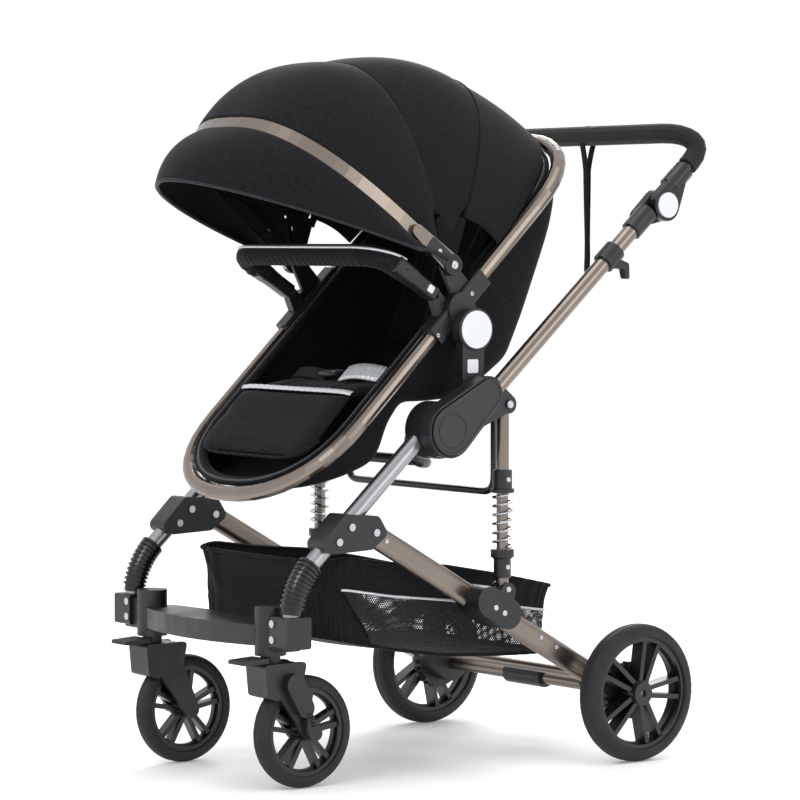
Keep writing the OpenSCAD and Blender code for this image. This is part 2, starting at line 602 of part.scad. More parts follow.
sleeve_s = [-53, 87];
bumper_p = in_seat(-2, 44);
module seat_connectors() { color("#26272b") both() {
    difference() {
        union() {
            translate(at_x(hoop_x, in_seat(sleeve_s[0], 0))) rotate([hoop_tilt - 90, 0, 0])
                linear_extrude(sleeve_s[1] - sleeve_s[0]) polygon(rounded(square_at([0, 0], sleeve_half), 6));
            plate(hoop_x, adapter_in - gap) polygon(bar(H, 31, in_seat(14, 0), 26));
            rod_x(H, adapter_in - 2, adapter_in + 8, 10);
            plate(hoop_x + 2, hoop_x + 9) polygon(bar(in_seat(38, 4), 22, P, 13));
            rod_x(P, hoop_x + 3, canopy_x + 8.5, 4);
            plate(hoop_x - 8, hoop_x + 8) polygon(bar(in_seat(-8, 8), 16, bumper_p, 9));
        }
        translate(at_x(hoop_x, in_seat(sleeve_s[0] - 1, 0))) rotate([hoop_tilt - 90, 0, 0])
            cylinder(h = sleeve_s[1] - sleeve_s[0] + 2, r = hoop_d / 2 + fit);
        rod_x(bumper_p, hoop_x - 20, hoop_x + 20, 5 + play);
    }
} }
module hub_button(s) { color("white") on_side(s) rod_x(H, housing_out - 2.5, housing_out + 3, hub_button_r); }
module seat_release(s) { color("white") on_side(s)
    plate(housing_out - 3.5, housing_out) polygon(rounded(square_at(release_p, release_w / 2), 3)); }

// Depth of the cloth tub below the hoop plane, as [s, depth]
tub = [[-392, 12], [-366, 36], [-318, 60], [-262, 84], [-236, 82], [-196, 60], [-150, 52], [-118, 86],
    [-70, 128], [0, 150], [56, 160], [130, 130], [212, 92], [296, 52], [366, 26], [392, 12]];
tub_gap = sleeve_half + 0.7;                  // from the hoop's centre line to the cloth
tub_bend = [[-1, 0], [-1, 0.3], [-0.99, 0.6], [-0.95, 0.86], [-0.86, 0.99], [-0.4, 1], [0, 1]];
tub_across = concat(tub_bend, [for (i = [5:-1:0]) [-tub_bend[i][0], tub_bend[i][1]]]);
function tub_grid(t) = [for (k = tub) let (w = hoop_half(k[0] * (1 + 2 * tub_gap / hoop_len), hoop_x) - tub_gap - t,
        s = k[0] + (k[0] < -380 ? t : k[0] > 380 ? -t : 0))
    [for (q = tub_across) at_x(w * q[0], in_seat(s, -2 - (k[1] - t - 2) * q[1]))]];
module seat_shell() { color("#232327") shell(tub_grid(0), tub_grid(basket_wall)); }

pad_half = hoop_x - 50;
// Cushion and calf panel in the seat's own plane
cushion = [[-206, 0], [-196, 27], [-100, -50], [-20, -116], [-8, -122], [-12, -134], [-30, -128],
    [-105, -72], [-150, -36]];
calf = [[-194, 4], [-194, 25], [-347.7, 22], [-347.7, 4]];
function seat_outline(p) = [for (q = p) in_seat(q[0], q[1])];
module seat_pad() { color("#2a2a2e") {
    plate(-pad_half, pad_half) polygon(seat_outline(rounded(cushion, 4)));
    plate(-pad_half - 8, pad_half + 8) polygon(seat_outline(rounded(calf, 5)));
} }
back_low = in_seat(62, -132.5);
back_top = in_seat(298, -29.6);
module backrest() { color("#26262a") {
    plate(-pad_half, pad_half) polygon(bar(back_low, 11, back_top, 11));
    rod_x(back_low, 1 - pad_half, pad_half - 1, 11.3);
} }
module harness() { color("#19191b") {
    plate(-20, 20) polygon(seat_outline([[-150, -9.4], [-118, -35], [-110, -25], [-142, 1]]));
    both() plate(20, pad_half - 4) polygon(seat_outline([[-146, -12.6], [-122, -31.8], [-121, -30], [-145, -10.8]]));
} }

bumper_far = bumper_p + [-82, 52];
bumper_half = mirrored(bezier(at_x(hoop_x, bumper_far + [22, -14]), at_x(hoop_x, bumper_far + [-12, 8]),
    at_x(hoop_x - 16, bumper_far + [-24, 12]), at_x(hoop_x - 52, bumper_far + [-28, 13])));
module bumper_bar() { color("#1f1f22") {
    difference() {
        union() {
            both() for (x = [-15.5, 8.8]) plate(hoop_x + x, hoop_x + x + 6.7)
                polygon(bar(bumper_p, 12, bumper_p + 30 * unit(bumper_far - bumper_p), 13));
            both() plate(hoop_x - 15.5, hoop_x + 15.5) polygon(bar(bumper_p + 38 * unit(bumper_far - bumper_p), 12.5,
                bumper_p + 66 * unit(bumper_far - bumper_p), 12.5));
        }
        both() rod_x(bumper_p, hoop_x - 9.5, hoop_x + 9.5, 26);
    }
    both() rod_x(bumper_p, hoop_x - 12, hoop_x + 12, 5);
    sweep(bumper_half, 18, 12);
} }

// ---------- canopy ----------
// Point on a rib: t runs from one pivot over the crown to the other
function rib_point(rib, t, inwards = 0) = let (r = (rib[1] - inwards) * power(sin(t), rib[3]))
    at_x((rib[2] - inwards) * power(cos(t), rib[3]), P + [-r * cos(rib[0]), r * sin(rib[0])]);
rib_steps = 32;
module rib(rib, width, thick, inwards) {
    n = [0, sin(rib[0]), cos(rib[0])];
    rings = [for (i = [0:rib_steps]) let (t = 7 + i * 166 / rib_steps)
        [for (k = [[-1, 0], [1, 0], [1, 1], [-1, 1]])
            rib_point(rib, t, inwards + k[1] * thick) + k[0] * width / 2 * n]];
    m = len(rings) - 1;
    faces = [for (i = [0:m - 1], k = [0:3]) let (j = (k + 1) % 4)
        each [[4 * i + k, 4 * i + 4 + k, 4 * i + 4 + j], [4 * i + k, 4 * i + 4 + j, 4 * i + j]]];
    polyhedron([for (g = rings) each g], concat(faces, [[0, 1, 2, 3], [4 * m + 3, 4 * m + 2, 4 * m + 1, 4 * m]]));
}
module rib_foot(rib, x0, x1, r, inwards) { both() {
    difference() {
        plate(x0, x1) polygon(bar(P, r, let (q = rib_point(rib, 8, inwards)) [q[1], q[2]], r * 0.6));
        rod_x(P, x0 - 1, x1 + 1, 4 + play);
    }
    let (q = rib_point(rib, 7.6, inwards)) rod_x([q[1], q[2]], rib[2] - inwards - 1, x1 - 0.4, 4.5);
} }
module canopy_bow() { color("#8c8178") {
    rib(bow, bow_w, 6, -2);
    rib_foot(bow, canopy_x - 0.5, canopy_x + 8, 17, 2);
} }
module canopy_rib_mid() { color("#1d1d20") {
    rib(rib_mid, 12, 4, cloth_t + 2);
    rib_foot(rib_mid, canopy_x - 3.2, canopy_x - 0.8, 12, cloth_t + 3);
} }
module canopy_rib_rear() { color("#1d1d20") {
    rib(rib_rear, 12, 4, cloth_t + 2);
    rib_foot(rib_rear, canopy_x - 5.8, canopy_x - 3.5, 12, cloth_t + 3);
} }

function mix(a, b, v) = a + v * (b - a);
function swell(rib, k) = [rib[0], rib[1] + k, rib[2] + k * 0.3, rib[3]];
// Cloth between two ribs, starting off0 past the first and ending off1 short of the second,
// and drawn in by sag at the middle
function cloth(a, b, off0, off1, sag, inwards) = [for (i = [0:6]) let (v = i / 6, q = mix(a, b, v))
    [for (j = [0:22]) rib_point(swell(q, -sag * sin(180 * v)), 9 + j * 162 / 22, inwards)
        + ((1 - v) * off0 - v * off1) * [0, sin(q[0]), cos(q[0])]]];
module gore(a, b, off0, off1, sag) {
    shell(cloth(a, b, off0, off1, sag, 0), cloth(a, b, off0, off1, sag, cloth_t));
}
module canopy_visor() { color("#232327") gore(visor_edge, bow, 0, bow_w / 2 + 0.4, -8); }
module canopy_gore_front() { color("#232327") gore(bow, rib_mid, bow_w / 2 + 0.4, 0.3, -13); }
module canopy_gore_mid() { color("#232327") gore(rib_mid, rib_rear, 0.3, 0.3, -2); }
// The last panel runs from the rear rib down to the hoop's head end
function hoop_point(j, inwards) = let (t = 9 + j * 162 / 22)
    at_x((hoop_x + 4 - inwards) * power(cos(t), hoop_n), in_seat(hoop_len / 2 * (0.2 + 0.8 * power(sin(t), hoop_n)) - inwards, hoop_d / 2 + 2));
function rear_cloth(inwards) = [for (i = [0:6]) let (v = mix(0.005, 1, i / 6))
    [for (j = [0:22]) mix(rib_point(rib_rear, 9 + j * 162 / 22, inwards), hoop_point(j, inwards), v)
    ]];
module canopy_gore_rear() { color("#232327") shell(rear_cloth(0), rear_cloth(cloth_t)); }

front_leg_tubes();
leg_brackets();
frame_rivets();
leg_bellows();
caster_sockets();
step_board();
joint_housings();
seat_adapters();
front_cross_brace();
rear_u_bar();
side_tubes();
rear_axle();
brake_housings();
strut_brackets();
basket();
brake_pedal();
strut_rods();
strut_tubes();
strut_springs();
handle_tubes();
joint_covers();
hook_clamps();
handle_knuckles();
handle_bar();
foam_grip();
wrist_strap();
handle_button(1);  // handle_button_left
handle_button(-1);  // handle_button_right
caster_fork(1);  // caster_fork_left
caster_shock(1);  // caster_shock_left
swivel_lock(1);  // swivel_lock_left
caster_fork(-1);  // caster_fork_right
caster_shock(-1);  // caster_shock_right
swivel_lock(-1);  // swivel_lock_right
front_rim(1);  // front_rim_left
front_tyre(1);  // front_tyre_left
front_rim(-1);  // front_rim_right
front_tyre(-1);  // front_tyre_right
rear_rim(1);  // rear_rim_left
rear_tyre(1);  // rear_tyre_left
rear_rim(-1);  // rear_rim_right
rear_tyre(-1);  // rear_tyre_right
seat_hoop();
seat_connectors();
hub_button(1);  // hub_button_left
hub_button(-1);  // hub_button_right
seat_release(1);  // seat_release_left
seat_release(-1);  // seat_release_right
seat_shell();
seat_pad();
backrest();
harness();
bumper_bar();
canopy_bow();
canopy_rib_mid();
canopy_rib_rear();
canopy_visor();
canopy_gore_front();
canopy_gore_mid();
canopy_gore_rear();
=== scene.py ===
import bmesh
import bpy
import numpy as np
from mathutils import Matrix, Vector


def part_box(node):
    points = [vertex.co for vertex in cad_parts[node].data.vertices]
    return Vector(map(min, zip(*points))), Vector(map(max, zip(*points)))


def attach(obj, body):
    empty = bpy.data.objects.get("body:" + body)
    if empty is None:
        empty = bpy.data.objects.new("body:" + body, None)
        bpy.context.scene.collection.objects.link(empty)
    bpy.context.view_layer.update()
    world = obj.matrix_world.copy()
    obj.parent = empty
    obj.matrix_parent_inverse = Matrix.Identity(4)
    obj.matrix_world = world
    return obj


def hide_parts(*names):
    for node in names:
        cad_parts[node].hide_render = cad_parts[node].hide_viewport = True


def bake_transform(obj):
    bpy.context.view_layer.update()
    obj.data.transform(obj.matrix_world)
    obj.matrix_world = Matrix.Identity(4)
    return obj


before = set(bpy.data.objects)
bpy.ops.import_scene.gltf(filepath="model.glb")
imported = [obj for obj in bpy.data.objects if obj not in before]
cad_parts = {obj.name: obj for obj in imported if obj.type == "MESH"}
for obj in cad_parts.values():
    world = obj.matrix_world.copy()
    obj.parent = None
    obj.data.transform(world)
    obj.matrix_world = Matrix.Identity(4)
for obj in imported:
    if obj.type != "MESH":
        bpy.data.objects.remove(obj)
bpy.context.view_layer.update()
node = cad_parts

# ---------- Studio ----------
# A pale seamless floor, a large soft key from the upper left, a fill from the right
# and a strip behind that draws bright lines along the tubes.


def linear(code):
    """An sRGB hex colour as linear RGBA: a straight line below 0.04045, a 2.4 power above it."""
    c = np.array([int(code[i : i + 2], 16) / 255 for i in (1, 3, 5)])
    return (*np.where(c <= 0.04045, c / 12.92, ((c + 0.055) / 1.055) ** 2.4), 1.0)


def add(tree, kind, props=None, **inputs):
    """Adds one shader node, sets its properties, and gives each input a value or another node's output."""
    n = tree.nodes.new("ShaderNode" + kind)
    for k, v in (props or {}).items():
        setattr(n, k, v)
    for k, v in inputs.items():
        socket = n.inputs[int(k[1:]) if k[0] == "_" else k.replace("_", " ")]
        if isinstance(v, bpy.types.NodeSocket):
            tree.links.new(v, socket)
        else:
            socket.default_value = v
    return n


def finish(name, colour, roughness, **sockets):
    """A new material whose one Principled shader has these plain values. Returns it, its tree and its shader."""
    m = bpy.data.materials.new(name)
    m.use_nodes = True
    shader = m.node_tree.nodes["Principled BSDF"]
    shader.inputs["Base Color"].default_value = linear(colour)
    shader.inputs["Roughness"].default_value = roughness
    for k, v in sockets.items():
        shader.inputs[k.replace("_", " ")].default_value = v
    return m, m.node_tree, shader


def wire(tree, shader, **sockets):
    """Links node outputs to the shader's sockets of these names."""
    for k, v in sockets.items():
        tree.links.new(v, shader.inputs[k.replace("_", " ")])


def surface(name, points, material, closed=(False, False), solid=False):
    """A grid of points (rows, columns, xyz) whose squares become faces. Its UV map holds the running
    length along rows and columns in metres. Doubled points at seams and poles are merged."""
    p = np.asarray(points, float)
    r, c = p.shape[:2]
    i, j = np.meshgrid(np.arange(r - (not closed[0])), np.arange(c - (not closed[1])), indexing="ij")
    corners = [(i, j), (i, j + 1), (i + 1, j + 1), (i + 1, j)]
    faces = np.stack([(a % r) * c + b % c for a, b in corners], -1).reshape(-1, 4)
    mesh = bpy.data.meshes.new(name)
    mesh.from_pydata(p.reshape(-1, 3).tolist(), [], faces.tolist())
    u = np.append(0, np.cumsum(np.linalg.norm(p - np.roll(p, -1, 0), axis=-1).mean(1)))
    v = np.append(0, np.cumsum(np.linalg.norm(p - np.roll(p, -1, 1), axis=-1).mean(0)))
    uv = np.stack([np.stack([u[a], v[b]], -1) for a, b in corners], -2)
    mesh.uv_layers.new(name="UVMap").data.foreach_set("uv", uv.ravel())
    bm = bmesh.new()
    bm.from_mesh(mesh)
    bmesh.ops.remove_doubles(bm, verts=bm.verts, dist=2e-6)
    if solid:
        bmesh.ops.recalc_face_normals(bm, faces=bm.faces)
    bm.to_mesh(mesh)
    bm.free()
    mesh.shade_smooth()
    mesh.materials.append(material)
    piece = bpy.data.objects.new(name, mesh)
    bpy.context.scene.collection.objects.link(piece)
    return piece


paper, tree, shader = finish("matt_paper_sweep", "#f4f4f4", 0.9, Emission_Color=linear("#f6f7fa"),
    Emission_Strength=0.14)
blotch = add(tree, "TexNoise", Vector=add(tree, "TexCoord").outputs["Object"], Scale=2.0)
ramp = add(tree, "Mix", {"data_type": "RGBA"}, Factor=blotch.outputs["Fac"], _6=linear("#f2f2f2"),
    _7=linear("#f7f7f7"))
wire(tree, shader, Base_Color=ramp.outputs[2])
reach = np.linspace(-30, 30, 13)
floor = surface("floor", np.stack(np.broadcast_arrays(reach[:, None], reach[None], 0.0), -1)[::-1], paper)

world = bpy.data.worlds.new("studio")
bpy.context.scene.world = world
world.use_nodes = True
world.node_tree.nodes["Background"].inputs["Color"].default_value = linear("#f6f7fa")
world.node_tree.nodes["Background"].inputs["Strength"].default_value = 1.1
bpy.context.scene.view_settings.view_transform = "Standard"
for name, place, power, size, aim in (
    ("key", (1.2, -3.6, 3.6), 62, 1.6, (0, 0, 0.6)),
    ("fill", (4.2, 1.6, 1.9), 26, 1.8, (0, 0, 0.6)),
    ("rim", (-2.6, 2.4, 2.6), 60, 1.4, (0, 0, 0.7)),
    ("top", (0.2, 0.0, 4.2), 30, 2.0, (0, 0, 0.5)),
):
    lamp = bpy.data.lights.new(name, "AREA")
    lamp.energy, lamp.size = power, size
    lamp = bpy.data.objects.new(name, lamp)
    bpy.context.scene.collection.objects.link(lamp)
    lamp.location = place
    way = np.array(aim) - place
    lamp.rotation_euler = (np.arctan2(np.hypot(*way[:2]), -way[2]), 0, np.arctan2(way[0], -way[1]) + np.pi)

lens = bpy.data.cameras.new("camera")
lens.lens, lens.sensor_width, lens.clip_end = 152.21, 36.0, 100
camera = bpy.data.objects.new("camera", lens)
bpy.context.scene.collection.objects.link(camera)
camera.location = (4.496, -3.428, 0.872)
way = np.array((0, 0.0053, 0.5992)) - camera.location
camera.rotation_euler = (np.arctan2(np.hypot(*way[:2]), -way[2]), 0, np.arctan2(way[1], way[0]) - np.pi / 2)
bpy.context.scene.camera = camera

# ---------- Aluminium frame ----------
# Extruded 6063 tube: round legs and handle, flat-oval side tubes, round seat hoop and canopy band.
# It is bead-blasted and anodised, a warm pewter everywhere except the plain silver front legs.


def coat(material, *names):
    """Gives CAD nodes a material."""
    for n in names:
        for s in node[n].material_slots:
            s.material = material
        if not node[n].material_slots:
            node[n].data.materials.append(material)


def anodised(name, colour, shade, rough):
    """Blasted and anodised aluminium: a metal with 0.7 mm grain and a faint cloudiness from the dye bath."""
    m, tree, shader = finish(name, colour, rough, Metallic=1.0)
    place = add(tree, "TexCoord").outputs["Object"]
    cloud = add(tree, "TexNoise", Vector=place, Scale=9.0, Detail=3.0)
    dye = add(tree, "Mix", {"data_type": "RGBA"}, Factor=cloud.outputs["Fac"], _6=linear(colour), _7=linear(shade))
    grain = add(tree, "TexNoise", Vector=place, Scale=1400.0, Detail=2.0)
    matt = add(tree, "MapRange", Value=grain.outputs["Fac"], To_Min=rough - 0.07, To_Max=rough + 0.07)
    bump = add(tree, "Bump", Height=grain.outputs["Fac"], Strength=0.12, Distance=0.0002)
    wire(tree, shader, Base_Color=dye.outputs[2], Roughness=matt.outputs[0], Normal=bump.outputs[0])
    return m


pewter = anodised("pewter_anodised_aluminium", "#8a8076", "#7a7067", 0.28)
silver = anodised("silver_anodised_aluminium", "#a3a3a2", "#94949a", 0.30)
coat(pewter, "side_tubes", "rear_axle", "handle_tubes", "seat_hoop", "canopy_bow", "strut_tubes", "strut_rods")
coat(silver, "front_leg_tubes")

# ---------- Black moulded parts ----------
# Glass-filled nylon brackets, sockets and clamps with a fine spark-eroded grain. The joint covers
# and the step board are a greyer, smoother nylon, and the wheels a satin one.


def moulded(name, colour, shade, rough, grit, depth):
    """Moulded nylon: a spark-eroded grain of the given size in metres, rubbed lighter and smoother in broad patches."""
    m, tree, shader = finish(name, colour, rough)
    place = add(tree, "TexCoord").outputs["Object"]
    rub = add(tree, "TexNoise", Vector=place, Scale=22.0, Detail=4.0, Roughness=0.6)
    tone = add(tree, "Mix", {"data_type": "RGBA"}, Factor=rub.outputs["Fac"], _6=linear(colour), _7=linear(shade))
    grain = add(tree, "TexNoise", Vector=place, Scale=1 / grit, Detail=2.0)
    matt = add(tree, "MapRange", Value=rub.outputs["Fac"], From_Min=0.3, From_Max=0.7, To_Min=rough + 0.08,
        To_Max=rough - 0.06)
    bump = add(tree, "Bump", Height=grain.outputs["Fac"], Strength=0.35, Distance=depth)
    wire(tree, shader, Base_Color=tone.outputs[2], Roughness=matt.outputs[0], Normal=bump.outputs[0])
    return m


nylon = moulded("black_grained_nylon", "#0d0d0e", "#17181a", 0.42, 0.0009, 0.00025)
smooth_nylon = moulded("grey_black_satin_nylon", "#17181b", "#222326", 0.38, 0.0007, 0.0001)
wheel_nylon = moulded("black_satin_wheel_nylon", "#0b0b0c", "#151517", 0.30, 0.0007, 0.0001)
powder = moulded("black_powder_coat", "#08080a", "#111113", 0.32, 0.0014, 0.00012)
coat(nylon, "leg_brackets", "caster_sockets", "joint_housings", "seat_adapters", "brake_housings", "strut_brackets",
     "brake_pedal", "hook_clamps", "handle_knuckles", "caster_fork_left", "caster_fork_right", "caster_shock_left",
     "caster_shock_right", "swivel_lock_left", "swivel_lock_right", "seat_connectors")
coat(smooth_nylon, "joint_covers", "step_board")
coat(wheel_nylon, "front_rim_left", "front_rim_right", "rear_rim_left", "rear_rim_right")
coat(powder, "front_cross_brace", "rear_u_bar", "handle_bar")

# ---------- White buttons, rivets and coil springs ----------
# Push buttons are gloss white ABS. Rivets and the strut coils are zinc-plated steel.
abs_white, tree, shader = finish("gloss_white_abs", "#d6d8da", 0.22, Coat_Weight=0.3, Coat_Roughness=0.1)
flow = add(tree, "TexNoise", Vector=add(tree, "TexCoord").outputs["Object"], Scale=60.0)
tone = add(tree, "Mix", {"data_type": "RGBA"}, Factor=flow.outputs["Fac"], _6=linear("#d2d4d6"),
    _7=linear("#dcdddf"))
bump = add(tree, "Bump", Height=flow.outputs["Fac"], Strength=0.05, Distance=0.0003)
wire(tree, shader, Base_Color=tone.outputs[2], Normal=bump.outputs[0])
coat(abs_white, "handle_button_left", "handle_button_right", "hub_button_left", "hub_button_right",
     "seat_release_left", "seat_release_right")
zinc, tree, shader = finish("zinc_plated_steel", "#b9bbbd", 0.24, Metallic=1.0)
haze = add(tree, "TexNoise", Vector=add(tree, "TexCoord").outputs["Object"], Scale=400.0)
matt = add(tree, "MapRange", Value=haze.outputs["Fac"], To_Min=0.18, To_Max=0.32)
wire(tree, shader, Roughness=matt.outputs[0])
coat(zinc, "frame_rivets", "strut_springs")

# ---------- Rubber bellows and foam grip ----------
# The bellows on each front leg are blow-moulded soft PVC with a slight gloss. The grip is closed-cell
# EVA foam, quite matt, with small open cells on its cut skin.
pvc = moulded("soft_black_pvc", "#070708", "#0f0f10", 0.24, 0.0012, 0.0001)
coat(pvc, "leg_bellows")
foam, tree, shader = finish("black_eva_foam", "#0c0c0d", 0.9, Sheen_Weight=0.06, Sheen_Roughness=0.5)
place = add(tree, "TexCoord").outputs["Object"]
cells = add(tree, "TexVoronoi", Vector=place, Scale=620.0)
patch = add(tree, "TexNoise", Vector=place, Scale=40.0)
tone = add(tree, "Mix", {"data_type": "RGBA"}, Factor=patch.outputs["Fac"], _6=linear("#0a0a0b"),
    _7=linear("#141416"))
bump = add(tree, "Bump", Height=cells.outputs["Distance"], Strength=0.5, Distance=0.0006)
wire(tree, shader, Base_Color=tone.outputs[2], Normal=bump.outputs[0])
coat(foam, "foam_grip")

# ---------- Tyres ----------
# Foamed EVA tyres pressed over the rims: a rounded tread with a centre groove and a ring of slots
# cut into each shoulder. They are one moulding each and matt.


def full_turn(n):
    """n angles spaced evenly round a full turn, the last one short of the first."""
    return np.linspace(0, 2 * np.pi, n, endpoint=False)


def turned(centre, radius, across, turns):
    """A lathe about the X axis: radius and across are arrays over (angle, profile); every point sits at
    its radius and angle about the centre, and at its distance across."""
    a = turns[:, None]
    return np.stack([centre[0] + across, centre[1] + radius * np.cos(a), centre[2] + radius * np.sin(a)], -1)


eva = moulded("matt_black_eva_tyre", "#0a0a0b", "#131315", 0.66, 0.0011, 0.0003)
for front, wheel_d, width, wall, slots in ((True, 0.180, 0.030, 0.0187, 44), (False, 0.230, 0.040, 0.0217, 52)):
    turns = full_turn(slots * 6)
    k = np.linspace(0, 1, 61)
    outer, inner, half = wheel_d / 2, wheel_d / 2 - wall, width / 2 - 0.0002
    arc = np.pi * (k - 0.5)
    flat = np.sign(np.sin(arc)) * np.abs(np.sin(arc)) ** 0.8
    across = half * flat
    crown = outer - 0.0002 - (outer - inner - 0.0004) * (1 - np.abs(np.cos(arc)) ** 0.62)
    groove = 0.0014 * np.exp(-((across / 0.0014) ** 2)) + 0.0009 * np.exp(-(((np.abs(across)
        - 0.55 * half) / 0.0010) ** 2))
    shoulder = np.exp(-(((np.abs(across) / half - 0.86) / 0.13) ** 4)) * (k > 0.02) * (k < 0.98)
    slot = (np.cos(slots * turns) > 0.1) * 1.0
    radius = crown[None] - groove[None] - 0.0016 * slot[:, None] * shoulder[None]
    for side, name in ((1, "left"), (-1, "right")):
        wheel = f"{'front' if front else 'rear'}_tyre_{name}"
        low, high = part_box(wheel)
        centre = [(a + b) / 2 for a, b in zip(low, high)]
        grid = turned(centre, radius, np.broadcast_to(across, radius.shape), turns)
        bore = turned(centre, np.full((len(turns), 2), inner + 0.0001),
            np.broadcast_to([half * 0.7, -half * 0.7], (len(turns), 2)), turns)
        tyre = surface(f"{wheel}_tread", np.concatenate([grid, bore], 1), eva, (True, True), solid=True)
        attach(tyre, f"{'front' if front else 'rear'}_wheel_{name}")
        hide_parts(wheel)

# ---------- Canopy ----------
# A black melange polyester hood of four sewn panels over a champagne front bow and two inner ribs,
# which all turn on one rivet. The front panel overhangs as a visor with a piped edge.
# Its panels swell out between the ribs.


def woven(name, warp, weft, thread, rough=0.85, sheen=0.05, crease=0.0012):
    """Melange cloth on the piece's own UV map in metres: two thread colours mixed in streaks along the yarns,
    a plain weave of the given thread spacing as bump, drawn coarse enough to show, and soft creases."""
    m, tree, shader = finish(name, warp, rough, Sheen_Weight=sheen, Sheen_Roughness=0.45, Specular_IOR_Level=0.14)
    flat = add(tree, "UVMap", {"uv_map": "UVMap"}).outputs[0]
    yarns = [add(tree, "TexNoise", Vector=add(tree, "Mapping", Vector=flat, Scale=s).outputs[0], Scale=1.0,
        Detail=2.0)
             for s in ((0.12 / thread, 1.1 / thread, 1), (1.1 / thread, 0.12 / thread, 1))]
    mixed = add(tree, "Math", {"operation": "ADD"}, _0=yarns[0].outputs["Fac"], _1=yarns[1].outputs["Fac"])
    streak = add(tree, "MapRange", Value=mixed.outputs[0], From_Min=0.8, From_Max=1.25)
    tone = add(tree, "Mix", {"data_type": "RGBA"}, Factor=streak.outputs[0], _6=linear(warp), _7=linear(weft))
    over = [add(tree, "TexWave", {"bands_direction": d}, Vector=flat, Scale=0.157 / thread,
        Distortion=0.3) for d in "XY"]
    weave = add(tree, "Math", {"operation": "MULTIPLY"}, _0=over[0].outputs["Fac"], _1=over[1].outputs["Fac"])
    knit = add(tree, "Bump", Height=weave.outputs[0], Strength=0.5, Distance=thread * 0.16)
    fold = add(tree, "TexNoise", Vector=add(tree, "TexCoord").outputs["Object"], Scale=16.0, Detail=3.0)
    soft = add(tree, "Bump", Height=fold.outputs["Fac"], Strength=0.5, Distance=crease, Normal=knit.outputs[0])
    wire(tree, shader, Base_Color=tone.outputs[2], Normal=soft.outputs[0])
    return m


def power(v, n):
    """A cosine or sine raised to 2/n with its sign kept, which squares off a circle."""
    return np.sign(v) * np.abs(v) ** (2 / n)


pivot = np.array([-0.058, 0.827])
visor_edge = np.array([18.7, 0.421, 0.235, 1.85])
bow = np.array([38.3, 0.367, 0.215, 2.8])
rib_mid = np.array([75, 0.338, 0.210, 2.6])
rib_rear = np.array([112, 0.332, 0.212, 2.7])


def on_rib(rib, t, inwards=0.0):
    """Points of a squared half-ring through both pivots: rib is (angle back from the front, reach, half width,
    squareness), and t runs in degrees from the left pivot over the crown to the right one."""
    a, reach, half, n = (rib[..., k] for k in range(4))
    r = (reach - inwards) * power(np.sin(np.radians(t)), n)
    return np.stack([(half - inwards) * power(np.cos(np.radians(t)), n), pivot[0] - r * np.cos(np.radians(a)),
                     pivot[1] + r * np.sin(np.radians(a))], -1)


def panel(first, last, start, stop, swell, rows=26):
    """Cloth between two ribs: their four numbers are mixed from one to the other, the reach grows by swell at the
    middle, shallow pleats run in towards the pivots, and the first and last rows stand off by start and stop."""
    v, t = np.linspace(0, 1, rows)[:, None], np.linspace(2.6, 177.4, 121)[None]
    rib = first + v[..., None] * (last - first) + 0 * t[..., None]
    belly = np.sin(np.pi * v) ** 0.9
    pleat = 0.0011 * belly * np.sin(v * 26 + 3 * np.sin(np.radians(t * 2))) * (np.exp(-((t - 9) / 26) ** 2)
        + np.exp(-((171 - t) / 26) ** 2))
    rib[..., 1] += swell * belly + pleat
    rib[..., 2] += swell * 0.3 * belly
    a = np.radians(rib[..., 0])
    low = np.clip((12.5 - np.minimum(t, 180 - t)) / 3.5, 0, 1)
    gap = 0.0068 * low * low * (3 - 2 * low)
    off = (1 - v) * np.maximum(start, gap) - v * np.maximum(stop, gap)
    points = on_rib(rib, t) + off[..., None] * np.stack([0 * a, np.sin(a), np.cos(a)], -1)
    points[..., 0] -= np.sign(points[..., 0]) * 0.004 * low
    return points


def lined(piece, thick):
    """Gives a cloth its thickness on the side away from its face."""
    wall = piece.modifiers.new("lining", "SOLIDIFY")
    wall.thickness, wall.offset = thick, -1.0
    return piece


melange = woven("black_melange_polyester", "#0a0a0b", "#1d1d20", 0.0011)
tape = woven("black_binding_tape", "#060607", "#0f0f11", 0.0012, rough=0.7)
piping = woven("grey_corded_piping", "#202124", "#303135", 0.0012, rough=0.6)
hood = {
    "canopy_visor": (panel(visor_edge, bow, 0.001, 0.0116, 0.008), "canopy_front", None),
    "canopy_gore_front": (panel(bow, rib_mid, 0.0116, 0.0004, 0.013, 40), "canopy_front", "canopy_mid"),
    "canopy_gore_mid": (panel(rib_mid, rib_rear, 0.0004, 0.0004, 0.003, 40), "canopy_mid", "canopy_rear"),
}
for name, (grid, body, other) in hood.items():
    cloth = lined(surface(f"{name}_cloth", grid, melange), 0.003)
    if other:
        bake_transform(cloth)
    else:
        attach(cloth, body)
    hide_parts(name)
    across = float(np.linalg.norm(np.diff(grid, axis=1), axis=-1).sum(1).max())
    deep = float(np.linalg.norm(np.diff(grid, axis=0), axis=-1).sum(0).max())
    cut = float((np.linalg.norm(np.diff(grid, axis=1),
        axis=-1).sum(1).mean() * np.linalg.norm(np.diff(grid, axis=0), axis=-1).sum(0).mean()))


